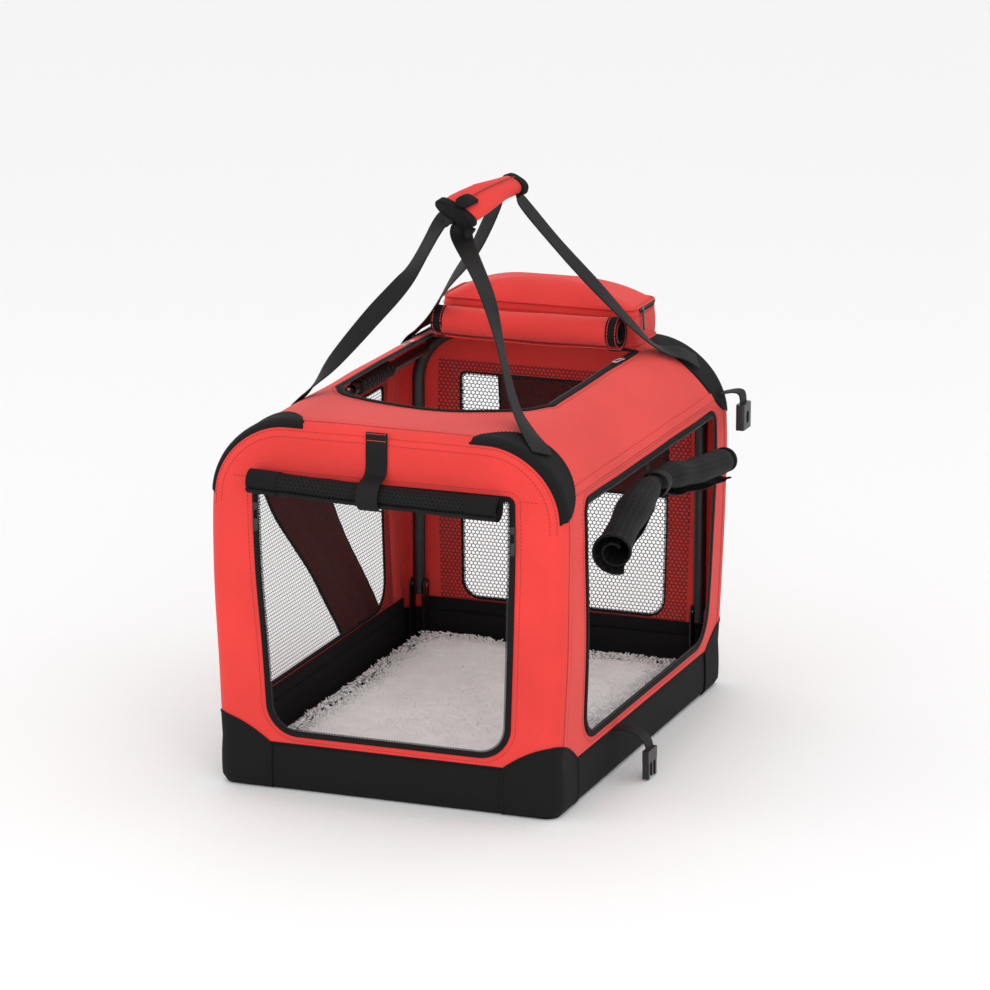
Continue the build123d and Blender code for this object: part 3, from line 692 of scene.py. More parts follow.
def moulded(name, colour, rough=0.42, ribs=0.0):
    """Moulded plastic: a spark-eroded grain, rubbed a little shinier in patches; a sleeve also
    has ribs round it, evenly spaced along its length."""
    r = Recipe(name)
    grain, rub = r.noise(1100.0, 2.0), r.noise(55.0, 3.0)
    height = grain * 0.4
    if ribs:
        along = Wire(r, r.node("ShaderNodeSeparateXYZ", {}, {0: r.place()}).socket.node.outputs[1])
        height = height + along.wave(ribs) * 4
    base = r.mix(rub * 0.5, colour, tint(colour, 1.8))
    return r.finish(base, rub * 0.16 + (rough - 0.08), height, 0.0005 if ribs else 0.0001, 0.5)


MATERIALS = {}


def make_materials():
    """Every finish of the carrier, each by its own name."""
    colours, sizes = bpy.context.scene.carrier_colours, bpy.context.scene.carrier_sizes
    red, black, fleece = tuple(colours.cloth), tuple(colours.black), tuple(colours.fleece)
    MATERIALS.update(
        cloth=woven("Red polyester", red),
        # Inner faces of the flaps: the red cloth darkened to 0.16 of its colour as painted shade,
        # for the shade they lie in behind the window mesh; the cloth itself is the same red
        lining=woven("Red lining in painted shade", tint(red, 0.16), sheen=0.05),
        black=woven("Black polyester", black, rough=0.85, sheen=0.0, contrast=0.4),
        webbing=ribbed("Black webbing", black),
        mesh=netting("Black mesh", black, sizes.hole),
        mesh_roll=netting("Rolled mesh", black, sizes.hole, solid=True),
        fleece=pile("White fleece", fleece),
        thread=moulded("Dark red thread", tint(red, 0.30), 0.6),
        red_thread=moulded("Red thread", tint(red, 0.9), 0.5),
        black_thread=moulded("Black thread", tint(black, 0.8), 0.6),
        coil=moulded("Zip coil", tint(black, 1.2), 0.3),
        tube=powder("Black powder coat", tint(black, 1.3)),
        steel=metal("Bright zinc", (0.62, 0.62, 0.64, 1), 0.22),
        plastic=moulded("Black plastic", tint(black, 1.2), 0.38),
        sleeve=moulded("Ribbed sleeve", tint(black, 1.3), 0.45, ribs=0.0045),
        board=moulded("Black board", tint(black, 1.1), 0.75),
    )


def paint(node, material):
    """Gives a CAD node its finish."""
    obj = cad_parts[node]
    if not obj.material_slots:
        obj.data.materials.append(material)
    for slot in obj.material_slots:
        slot.material = material


# ---------------------------------------------------------------- pieces


class Piece:
    """What the operators share: they show in the panel and can be run again from it."""

    bl_options = {"REGISTER"}


class CARRIER_OT_frame(Piece, bpy.types.Operator):
    """Gives the tubes, brackets, rivets, sleeves, buckles and board their finishes"""

    bl_idname = "carrier.frame"
    bl_label = "Frame and hardware"

    def execute(self, context):
        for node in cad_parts:
            if node in ("fold_pins",) or node.endswith("rivet"):
                paint(node, MATERIALS["steel"])
            elif node.endswith("sleeve"):
                paint(node, MATERIALS["sleeve"])
            elif node.endswith("buckle"):
                paint(node, MATERIALS["plastic"])
            elif node == "floor_board":
                paint(node, MATERIALS["board"])
            else:
                paint(node, MATERIALS["tube"])
        return {"FINISHED"}


def band_line(out):
    """The base's plan: a rounded rectangle, moved outwards by out."""
    x, y, r = HALF_WIDTH + out, END_FACE + out, EDGE + out
    return rounded([(-x, -y), (x, -y), (x, y), (-x, y)], [r] * 4, arc=16, run=72)


class CARRIER_OT_base(Piece, bpy.types.Operator):
    """Black base band with its floor, and the stitched patches on its corners"""

    bl_idname = "carrier.base"
    bl_label = "Base"

    PATCH_REACH = 64.0
    PATCH_RISE = 31.0

    @staticmethod
    def side(up):
        """How far the band stands out at a height: a shallow bow over a rounded foot."""
        up = np.clip(up, 0, BAND_TOP)
        bow = 1.2 * np.sin(np.clip(up / BAND_TOP, 0, 1) * math.pi)
        foot = 9 * (1 - np.sqrt(1 - (1 - np.clip(up / 12, 0, 1)) ** 2))
        return bow - foot - 0.6

    def band(self):
        """The band: rows of the plan line, each moved outwards by its height's own amount."""
        line = band_line(0.0)
        count = len(line)
        heights = np.concatenate([[0, 0.4, 1.5, 3.5, 7, 12], np.linspace(18, BAND_TOP + 0.6, 8)])
        outs = list(zip(self.side(heights), heights))
        inner = [(-2.6, BAND_TOP + 1.2), (-4.6, BAND_TOP + 0.8), (-5.2, 40), (-5.4, 3.5)]
        floor = [(-12.5, 0.0), (-9.6, 0.0)]
        rows = [grown(line, a) for a, _ in floor + outs + inner]
        z = [h for _, h in floor + outs + inner]
        z[0], z[1] = 0.3, 0.0
        points = np.stack([
            np.concatenate([np.concatenate([r, r[:1]]), np.full((count + 1, 1), h)], 1)
            for r, h in zip(rows, z)
        ])
        run = np.linspace(0, 2 * (2 * HALF_WIDTH + 2 * END_FACE), count + 1)
        lengths = paired(run[None], np.array(z)[:, None])
        top = len(rows) - 1
        loop = np.arange(count)
        base = sheet_grid(points, lengths)
        base[1].append(loop[None])
        base[1].append((loop[::-1] + top * (count + 1))[None])
        piece("base_band_cloth", [base], MATERIALS["black"], "base",
              replaces=["base_band"])
        edge = grown(line, -0.2)
        path = np.concatenate([edge, np.full((count, 1), BAND_TOP + 0.4)], 1)
        along = np.roll(path, -1, 0) - np.roll(path, 1, 0)
        out = np.stack([along[:, 1], -along[:, 0], 0 * along[:, 0]], 1)
        piping = sweep(path, round_profile(1.3, 8), out, closed=True)
        piece("base_band_piping", [piping], MATERIALS["black"], "base")

    def patch(self, corner_x, corner_y):
        """A patch round one corner: its top is a low arch over the corner, and its points run
        round the plan line and up the band, standing a little proud."""
        w = np.linspace(-1, 1, 61)
        top = BAND_TOP - 1 + self.PATCH_RISE * (1 - np.abs(w) ** 1.6)
        up = np.linspace(0, 1, 19)[:, None] ** 0.8
        z = 1.2 + (top[None] - 1.2) * up
        a = w * self.PATCH_REACH
        a = np.broadcast_to(a, z.shape)
        half = EDGE_RUN / 2
        turn = np.clip((a + half) / EDGE, 0, math.pi / 2)
        out = self.side(z) + 1.5
        out = np.where(z > BAND_TOP - 2, np.minimum(out, 1.4), out)
        x = HALF_WIDTH - EDGE + (EDGE + out) * np.sin(turn) + np.minimum(a + half, 0)
        y = END_FACE - EDGE + (EDGE + out) * np.cos(turn) - np.maximum(a - half, 0)
        points = settle(np.stack([corner_x * x, corner_y * y, z], -1))
        normal = np.stack([corner_x * np.sin(turn), corner_y * np.cos(turn), 0 * turn], -1)
        grid = sheet_grid(points, np.stack([a, z], -1))
        rim = np.concatenate([points[::-1, 0], points[-1, 1:-1], points[:, -1]])
        rim_up = np.concatenate([normal[::-1, 0], normal[-1, 1:-1], normal[:, -1]])
        middle = points.mean((0, 1))
        inner = rim + (middle - rim) * 0.045
        return grid, sweep(rim, flat_profile(3.2, 1.4, 10), rim_up), stitches(inner, rim_up)

    def execute(self, context):
        self.band()
        grids, rims, seams = [], [], []
        for x in (-1, 1):
            for y in (-1, 1):
                grid, rim, seam = self.patch(x, y)
                grids.append(grid)
                rims.append(rim)
                seams.append(seam)
        names = (("front", "left"), ("rear", "left"), ("front", "right"), ("rear", "right"))
        for (end, side), grid in zip(names, grids):
            corner = (1 if side == "right" else -1, 1 if end == "rear" else -1, 0)
            made = piece(f"bottom_patch_{end}_{side}", [grid], MATERIALS["black"], "base",
                         outward=("along", corner), thick=1.0,
                         replaces=["bottom_corner_patches"])
        piece("bottom_patch_rims", rims, MATERIALS["black"], "base")
        piece("bottom_patch_stitches", seams, MATERIALS["black_thread"], "base",
              weld=False)
        return {"FINISHED"}


OPENING_SEAM, ROOF_SEAM = 9.5, 9.0


class CARRIER_OT_ends(Piece, bpy.types.Operator):
    """Front and rear cover panels, with the edge that curls onto the roof and sides"""

    bl_idname = "carrier.ends"
    bl_label = "End panels"

    def panel(self, end, hole):
        """The flat face, a ring between its rim and the opening, and the quarter-circle curl."""
        s = np.concatenate([np.linspace(0, LEG, 60), np.linspace(LEG, GIRTH - LEG, 150)[1:-1],
                            np.linspace(GIRTH - LEG, GIRTH, 60)])
        rim, _ = shell(s, 0.0, end)
        foot = HALF_WIDTH - EDGE
        bottom = np.stack([np.linspace(-foot, foot, 92)[1:-1], np.full(90, BAND_TOP)], 1)
        outer = np.concatenate([rim[:, [0, 2]], bottom])
        flat = ring(outer, hole, 16, (0, 226))
        points, _ = end_cloth(end, flat[..., 0], flat[..., 1])
        face = sheet_grid(points, flat, flip=end > 0)
        t = np.linspace(0, EDGE_RUN, 8)[:, None]
        points, _ = shell(s[None], t, end)
        curl = sheet_grid(points, paired(s[None], t), flip=end > 0)
        return [settled(face), settled(curl)]

    def seams(self, end):
        """Seam tape over the corner seam, with two rows of stitches, and stitches on the face."""
        s = np.linspace(2, GIRTH - 2, 300)
        path, up = shell(s, EDGE_RUN + 1.5, end, lift=0.25)
        tape = sweep(settle(path), flat_profile(10, 0.9, 10), up)
        lines = []
        for t in (EDGE_RUN - 2.4, EDGE_RUN + 5.4):
            path, up = shell(s, t, end, lift=0.35)
            lines.append(stitches(settle(path), up))
        for t in (3.0, 11.0):
            path, up = shell(s[75:-75], t, end, lift=-0.1)
            lines.append(stitches(settle(path), up))
        for side in (-1, 1):
            x = np.linspace(163, 188, 12) * side
            path, up = end_cloth(end, x, 379.0, -0.1)
            lines.append(stitches(settle(path), up))
        around = even(grown(DOOR, OPENING_SEAM), 400, closed=True)
        path, up = end_cloth(end, around[:, 0], around[:, 1], -0.1)
        lines.append(stitches(settle(path), up))
        return tape, lines

    def execute(self, context):
        thick = context.scene.carrier_sizes.cloth / MM
        for end, name, body, hole in ((-1, "front", "front_end", DOOR),
                                      (1, "rear", "rear_end", REAR_HOLE)):
            made = piece(f"{name}_cover", self.panel(end, hole), MATERIALS["cloth"], body,
                         outward=("along", (0, end, 0)), thick=thick,
                         replaces=[f"{name}_panel"])
            tape, lines = self.seams(end)
            piece(f"{name}_corner_tape", [tape], MATERIALS["cloth"], body)
            piece(f"{name}_cover_stitches", lines, MATERIALS["thread"], body,
                  weld=False)
        return {"FINISHED"}


class CARRIER_OT_sides(Piece, bpy.types.Operator):
    """Side panels, each with its window opening"""

    bl_idname = "carrier.sides"
    bl_label = "Side panels"

    def execute(self, context):
        thick = context.scene.carrier_sizes.cloth / MM
        y = np.linspace(-BARREL_END, BARREL_END, 130)
        h = np.linspace(0, SIDE_RUN, 74)
        outer = np.concatenate([
            np.stack([y, 0 * y], 1), np.stack([0 * h + BARREL_END, h], 1)[1:-1],
            np.stack([y[::-1], 0 * y + SIDE_RUN], 1),
            np.stack([0 * h - BARREL_END, h[::-1]], 1)[1:-1],
        ])
        flat = ring(outer, WINDOW_CLOTH, 12, (0, 160))
        for side, name in ((-1, "left"), (1, "right")):
            points, _ = side_cloth(side, flat[..., 0], flat[..., 1])
            made = piece(f"{name}_cover", [settled(sheet_grid(points, flat, flip=side < 0))],
                         MATERIALS["cloth"], "base",
                         outward=("along", (side, 0, 0)), thick=thick,
                         replaces=[f"{name}_side_panel"])
            folds(made)
            around = even(grown(WINDOW_CLOTH, OPENING_SEAM), 500, closed=True)
            path, up = side_cloth(side, around[:, 0], around[:, 1], -0.1)
            lines = [stitches(settle(path), up)]
            made = piece(f"{name}_cover_stitches", lines, MATERIALS["thread"], "base",
                         weld=False)
            folds(made)
        return {"FINISHED"}


class CARRIER_OT_roof(Piece, bpy.types.Operator):
    """Roof panel with its rounded opening, seam tapes and stitching"""

    bl_idname = "carrier.roof"
    bl_label = "Roof"

    def execute(self, context):
        thick = context.scene.carrier_sizes.cloth / MM
        x = np.linspace(-ROOF_HALF, ROOF_HALF, 150)
        y = np.linspace(-BARREL_END, BARREL_END, 130)
        outer = np.concatenate([
            np.stack([x, 0 * x - BARREL_END], 1), np.stack([0 * y + ROOF_HALF, y], 1)[1:-1],
            np.stack([x[::-1], 0 * x + BARREL_END], 1),
            np.stack([0 * y - ROOF_HALF, y[::-1]], 1)[1:-1],
        ])
        flat = ring(outer, ROOF_HOLE, 22, (0, 20))
        points, _ = roof_cloth(flat)
        made = piece("roof_cover", [settled(sheet_grid(points, flat))], MATERIALS["cloth"],
                     "roof", outward=("along", (0, 0, 1)), thick=thick,
                     replaces=["roof_panel"])
        tapes, lines = [], []
        run = np.linspace(-BARREL_END + 1, BARREL_END - 1, 200)
        for side in (-1, 1):
            path, up = side_cloth(side, run, SIDE_RUN + 3, 0.25)
            tapes.append(sweep(settle(path), flat_profile(11, 0.9, 10), up))
            for h in (-1.4, 7.4):
                path, up = side_cloth(side, run, SIDE_RUN + h, 0.4)
                lines.append(stitches(settle(path), up))
        piece("roof_seam_tapes", tapes, MATERIALS["cloth"], "roof")
        around = even(grown(ROOF_HOLE, ROOF_SEAM), 500, closed=True)
        path, up = roof_cloth(around, -0.1)
        lines.append(stitches(settle(path), up))
        piece("roof_stitches", lines, MATERIALS["thread"], "roof", weld=False)
        return {"FINISHED"}


class CARRIER_OT_zips(Piece, bpy.types.Operator):
    """Binding tape and zip coil round every opening"""

    bl_idname = "carrier.zips"
    bl_label = "Zips"

    def zip(self, name, line, cloth, body, node, side_fold=False):
        """Binding, bead and coil, each carried round the opening at its own distance."""
        edge = even(line, 420, closed=True)[:-1]
        teeth = even(grown(line, -3.4), 420, closed=True)[:-1]
        path, up = cloth(grown(edge, 0.6), 0.7)
        tape = sweep(settle(path), flat_profile(7.0, 2.6, 12), up, closed=True)
        path, up = cloth(grown(edge, 3.2), 0.9)
        bead = sweep(settle(path), round_profile(0.9, 8), up, closed=True)
        path, up = cloth(teeth, 0.4)
        coil = stitches(settle(path), up, pitch=2.0, length=3.6, radius=0.75, across=True,
                        closed=True)
        made = [
            piece(f"{name}_binding", [tape, bead], MATERIALS["black"], body,
                  replaces=[node]),
            piece(f"{name}_coil", [coil], MATERIALS["coil"], body, weld=False),
        ]
        if side_fold:
            for obj in made:
                folds(obj)

    def execute(self, context):
        for end, name in ((-1, "front"), (1, "rear")):
            self.zip(f"{name}_door_zip_tape", DOOR if end < 0 else REAR_HOLE,
                     lambda l, lift, end=end: end_cloth(end, l[:, 0], l[:, 1], lift),
                     f"{name}_end", f"{name}_door_zip")
        for side, name in ((-1, "left"), (1, "right")):
            self.zip(f"{name}_window_zip_tape", WINDOW_CLOTH,
                     lambda l, lift, side=side: side_cloth(side, l[:, 0], l[:, 1], lift),
                     "base", f"{name}_window_zip", side_fold=True)
        self.zip("roof_zip_tape", ROOF_HOLE, roof_cloth, "roof", "roof_zip")
        return {"FINISHED"}


class CARRIER_OT_zip_pulls(Piece, bpy.types.Operator):
    """Sliders and their pull tabs on the door zip and the roof zip"""

    bl_idname = "carrier.zip_pulls"
    bl_label = "Zip pulls"

    def slider(self, place, down, up, half=(3.6, 5.0, 2.0)):
        """A slider body: a rounded brick of two square-ish ovals, wider at its head."""
        w = np.linspace(-1, 1, 9)
        path = place + np.outer(w * half[1], down) + np.array(up) * half[2]
        scale = 1 - 0.28 * smooth(w, -0.2, 1.0) - 0.25 * np.abs(w) ** 6
        return sweep(path, flat_profile(2 * half[0], 2 * half[2] - 0.6, 14), up, scale=scale)

    def pull(self, place, down, up, length, width, wire):
        """A pull: a long closed loop of wire, from two straight runs and two half circles."""
        side = np.cross(down, up)
        a = np.linspace(0, 2 * math.pi, 49)[:-1]
        run = length / 2 - width / 2
        x = np.cos(a) * width / 2
        y = np.sin(a) * width / 2 + np.sign(np.sin(a)) * run
        path = place + np.outer(y + length / 2, down) + np.outer(x, side)
        return sweep(path, round_profile(wire, 8), up, closed=True)

    def execute(self, context):
        for side in ("left", "right"):
            for zone, finish, key in (("front", "black_plastic", "plastic"),
                                      ("roof", "bright_steel", "steel")):
                low, high = span(f"{zone}_{side}_zip_slider")
                middle = (low + high) / 2
                down, up = ((0, 0, -1), (0, -1, 0)) if zone == "front" else ((0, -1, 0), (0, 0, 1))
                if zone == "front":
                    middle[1] = high[1] - 0.4
                else:
                    middle[2] = low[2] - 0.2
                body = self.slider(middle, down, up,
                                   (3.4, 4.8, 1.9) if zone == "front" else (2.5, 4.2, 1.3))
                low, high = span(f"{zone}_{side}_zip_pull")
                top = (low + high) / 2
                axis = 2 if zone == "front" else 1
                top[axis] = high[axis] + 2
                lean = np.array(down, float) + 0.06 * np.array(up, float)
                tab = self.pull(top + np.array(up) * 0.6, lean, up, 26.0, 5.6, 0.75)
                loop = [tab]
                if zone == "front":
                    path = top + np.outer(np.linspace(11, 27, 10), lean) + np.array(up) * 0.6
                    loop.append(sweep(path, flat_profile(5.2, 2.2, 12), up,
                                      scale=1 - 0.3 * np.abs(np.linspace(-1, 1, 10)) ** 4))
                piece(f"{zone}_{side}_slider_body", [body], MATERIALS[key],
                      f"{zone}_{side}_slider", replaces=[f"{zone}_{side}_zip_slider"])
                piece(f"{zone}_{side}_pull_loop", loop, MATERIALS[key],
                      f"{zone}_{side}_pull", replaces=[f"{zone}_{side}_zip_pull"])
        return {"FINISHED"}


MESH_DEPTH, LINING_DEPTH = -2.4, -4.2


class CARRIER_OT_windows(Piece, bpy.types.Operator):
    """See-through mesh behind the left and rear openings"""

    bl_idname = "carrier.windows"
    bl_label = "Mesh windows"

    def execute(self, context):
        y, h = np.meshgrid(np.linspace(-240, 250, 120), np.linspace(10, 316, 60))
        points, _ = side_cloth(-1, y, h, MESH_DEPTH)
        made = piece("left_window_mesh", [settled(sheet_grid(points, np.stack([y, h], -1)))],
                     MATERIALS["mesh"], "base", outward=("along", (-1, 0, 0)),
                     replaces=["left_mesh_window"])
        folds(made)
        x, z = np.meshgrid(np.linspace(-166, 166, 80), np.linspace(62, 390, 70))
        points, _ = end_cloth(1, x, z, MESH_DEPTH)
        made = piece("rear_window_mesh", [settled(sheet_grid(points, np.stack([x, z], -1)))],
                     MATERIALS["mesh"], "rear_end", outward=("along", (0, 1, 0)),
                     replaces=["rear_mesh_window"])
        self.linings()
        return {"FINISHED"}

    def linings(self):
        """Black lining strips inside the lower edges of the sides and the rear."""
        y, h = np.meshgrid(np.linspace(-278, 278, 120), np.linspace(-1, 17.5, 6))
        for side, name in ((-1, "left"), (1, "right")):
            points, _ = side_cloth(side, y, h, LINING_DEPTH)
            made = piece(f"{name}_lining", [settled(sheet_grid(points, np.stack([y, h], -1)))],
                         MATERIALS["black"], "base",
                         outward=("along", (side, 0, 0)), thick=0.8)
            folds(made)
        x, z = np.meshgrid(np.linspace(-192, 192, 90), np.linspace(57, 75, 6))
        points, _ = end_cloth(1, x, z, LINING_DEPTH)
        made = piece("rear_lining", [settled(sheet_grid(points, np.stack([x, z], -1)))],
                     MATERIALS["black"], "rear_end", outward=("along", (0, 1, 0)),
                     thick=0.8)


FLAP_BINDING = flat_profile(8, 2.4, 12)


class CARRIER_OT_flaps(Piece, bpy.types.Operator):
    """Loose outer flaps that hang over the left and rear mesh windows"""

    bl_idname = "carrier.flaps"
    bl_label = "Window flaps"

    def flap(self, left, right, z, cloth, wave):
        """A sheet between two edges given against height, with shallow folds that run down it:
        a sum of sines across its width."""
        w = np.linspace(0, 1, 60)
        across = left[:, None] * (1 - w) + right[:, None] * w
        high = np.broadcast_to(z[:, None], across.shape)
        fold = 2.6 + wave * (np.sin(w * 9 + z[:, None] / 60) + 0.6 * np.sin(w * 17 + 1.3))
        points, up = cloth(across, high)
        points = settle(points) + up * fold[..., None]
        lengths = np.stack([across, high], -1)
        edge, edge_up = (
            np.concatenate([a[::-1, 0], a[0, 1:-1], a[:, -1], a[-1, -2:0:-1]]) for a in (points, up)
        )
        return sheet_grid(points, lengths), edge, edge_up

    def execute(self, context):
        z = np.linspace(362, 64, 70)
        knots = [62, 90, 180, 290, 362]
        left = np.interp(z, knots, [106, 84, 6, -114, -160])
        right = np.interp(z, knots, [220, 200, 124, 46, 14])
        left, right = (np.convolve(np.pad(a, 6, "edge"), np.ones(13) / 13, "valid")
                       for a in (left, right))
        grid, edge, up = self.flap(
            left, right, z, lambda a, b: side_cloth(-1, a, b - BAND_TOP, 0.4), 1.1)
        made = piece("left_flap", [grid], MATERIALS["cloth"], "base",
                     outward=("along", (-1, 0, 0)), thick=1.0, replaces=["left_window_flap"])
        folds(made)
        inner = grid[0] + np.array([1.5, 0, 0])
        # Inner face of the left flap: a sheet of the red cloth in painted shade, laid just inside
        # the flap
        made = piece("left_flap_painted_shade", [(inner,) + tuple(grid[1:])], MATERIALS["lining"], "base",
                     outward=("along", (1, 0, 0)))
        folds(made)
        made = piece("left_flap_binding", [sweep(edge, FLAP_BINDING, up, closed=True)],
                     MATERIALS["black"], "base")
        folds(made)
        z = np.linspace(374, 236, 60)
        left, right = z * 0 - 87 + (374 - z) * 0.05, z * 0 + 150
        grid, edge, up = self.flap(left, right, z, lambda a, b: end_cloth(1, a, b, 0.4), 0.8)
        made = piece("rear_flap", [grid], MATERIALS["cloth"], "rear_end",
                     outward=("along", (0, 1, 0)), thick=1.0, replaces=["rear_window_flap"])
        inner = grid[0] - np.array([0, 1.5, 0])
        # Inner face of the rear flap: a sheet of the red cloth in painted shade, laid just inside
        # the flap
        made = piece("rear_flap_painted_shade", [(inner,) + tuple(grid[1:])], MATERIALS["lining"],
                     "rear_end", outward=("along", (0, -1, 0)))
        piece("rear_flap_binding", [sweep(edge, FLAP_BINDING, up, closed=True)],
              MATERIALS["black"], "rear_end")
        return {"FINISHED"}


def spiral(inner, outer, turns, start):
    """A rolled sheet's section: the radius grows evenly with the angle."""
    a = np.linspace(0, turns * 2 * math.pi, 96)
    r = inner + (outer - inner) * a / a[-1]
    return np.stack([r * np.cos(a + start), r * np.sin(a + start)], 1)


def rolled(path, up, inner, outer, turns, start, scale=1.0, wobble=0.0):
    """A rolled sheet along a path, a little uneven along its length. Its section has an inner
    and an outer radius, a number of turns, and the angle in radians at which it starts."""
    run = np.linspace(0, 1, len(path))
    section = spiral(inner, outer, turns, start)
    uneven = 1 + wobble * (np.sin(run * 23 + 1) + 0.7 * np.sin(run * 51))
    return sweep(path, section, up, caps=False, scale=np.asarray(scale) * uneven)


class CARRIER_OT_door_roll(Piece, bpy.types.Operator):
    """Rolled mesh door across the top of the front opening, held by a webbing strap"""

    bl_idname = "carrier.door_roll"
    bl_label = "Rolled door"

    STRAP_X = -8.0
    SHORT = 14.0
    MESH = (8.5, 14.2, 2.6, 2.0)
    CUFF = (9.2, 15.2, 2.6, 2.0)
    CORE = 8.0

    def execute(self, context):
        low, high = span("front_door_roll")
        y, z = (low[1] + high[1]) / 2, (low[2] + high[2]) / 2
        x = np.linspace(low[0] + 1, high[0] - self.SHORT, 90)
        droop = -3.5 * (x / high[0]) - 2.0 * np.cos(x / high[0] * 1.4) + 1.0
        path = np.stack([x, 0 * x + y, z + 1 + droop], 1)
        up = (0, 0, 1)
        inside = path[8:-8]
        roll = rolled(inside, up, *self.MESH, wobble=0.02)
        made = piece("door_roll_mesh", [roll], MATERIALS["mesh_roll"], "front_end",
                     outward=("from", inside[37]), thick=0.8, replaces=["front_door_roll"])
        cuffs = [rolled(part, up, *self.CUFF) for part in (path[:12], path[-12:])]
        made = piece("door_roll_cuffs", cuffs, MATERIALS["black"], "front_end",
                     outward=("from", path[45]), thick=1.0)
        core = [sweep(path[6:-6], round_profile(self.CORE, 16), up)]
        piece("door_roll_core", core, MATERIALS["black"], "front_end")
        self.strap(y, z)
        return {"FINISHED"}

    def strap(self, y, z):
        """Webbing from the cover over the roll and under it, with two rows of stitches."""
        top = span("front_door_strap")[1][2]
        front = y - 16.6
        x = self.STRAP_X
        points = [(x, -END_FACE - 1.2, top - 1), (x, -END_FACE - 2.2, top - 18),
                  (x, -END_FACE - 5, z + 24), (x, y - 8, z + 15.5), (x, front, z + 6),
                  (x, front - 0.4, z - 5), (x, y - 10, z - 14), (x, y + 2, z - 18)]
        path = through(points, 60)
        up = np.cross(np.gradient(path, axis=0), (1, 0, 0))
        piece("door_strap_webbing", [sweep(path, flat_profile(27, 1.8), up)],
              MATERIALS["webbing"], "door_strap", replaces=["front_door_strap"])
        lines = []
        for row in (2.5, 10.5):
            w = np.linspace(-12, 12, 20)
            line = np.stack([w + x, 0 * w - END_FACE - 2.6, 0 * w + top - row], 1)
            lines.append(stitches(line, (0, -1, 0), pitch=3.0, length=2.4, radius=0.5))
        piece("door_strap_stitches", lines, MATERIALS["red_thread"], "door_strap",
              weld=False)


class CARRIER_OT_side_roll(Piece, bpy.types.Operator):
    """Mesh window flap rolled up along the top of the right opening, pinched by one strap"""

    bl_idname = "carrier.side_roll"
    bl_label = "Rolled side flap"

    MESH = (8, 22.5, 1.7, 0.8)
    BINDING = (7.8, 23.0, 1.7, 0.8)
    PINCH = -10

    def execute(self, context):
        low, high = span("right_flap_roll")
        x = span("right_window_zip")[1][0] + 21
        path = through([
            (x + 9, low[1] + 2, 300), (x + 6, low[1] + 22, 304), (x + 1, -120, 320),
            (x - 3, -50, 334), (x - 4, self.PINCH, 337), (x - 1, 34, 334), (x + 6, 100, 324),
            (x + 12, high[1] - 62, 318), (x + 14, high[1] - 34, 316),
        ], 130)
        run = path[:, 1]
        pinch = 1 - 0.42 * np.exp(-(((run - self.PINCH) / 34) ** 2))
        scale = pinch * (1.12 - 0.16 * smooth(run, -60, 200))
        ends = 1 + 0.10 * np.exp(-(((run - run[0]) / 14) ** 2))
        up = (0.1, 0, 1)
        roll = rolled(path, up, *self.MESH, scale=scale * ends, wobble=0.05)
        made = piece("side_roll_mesh", [roll], MATERIALS["mesh_roll"], "base",
                     outward=("from", path[65]), thick=0.8, replaces=["right_flap_roll"])
        folds(made)
        bands = []
        for part, size in ((slice(0, 5), scale[0] * 1.11), (slice(-5, None), scale[-1])):
            bands.append(rolled(path[part], up, *self.BINDING, scale=size))
        made = piece("side_roll_binding", bands, MATERIALS["black"], "base",
                     outward=("from", path[65]), thick=1.6)
        folds(made)
        turn = np.linspace(0, 2 * math.pi, 60)
        middle = np.array([x - 4, self.PINCH, 337])
        loop = middle + np.stack([
            16.2 * np.cos(turn), 0 * turn, 15.2 * np.sin(turn) + 1.5 * np.cos(2 * turn)], 1)
        tail = through([loop[22], (x - 17, self.PINCH, 358), (x - 18.6, self.PINCH, 372)], 20)
        webbing = [sweep(loop[:-1], flat_profile(16, 1.6), loop[:-1] - middle, closed=True),
                   sweep(tail, flat_profile(16, 1.6), (1, 0, 0.1))]
        made = piece("side_roll_strap", webbing, MATERIALS["webbing"], "base",
                     replaces=["right_roll_strap"])
        folds(made)
        return {"FINISHED"}


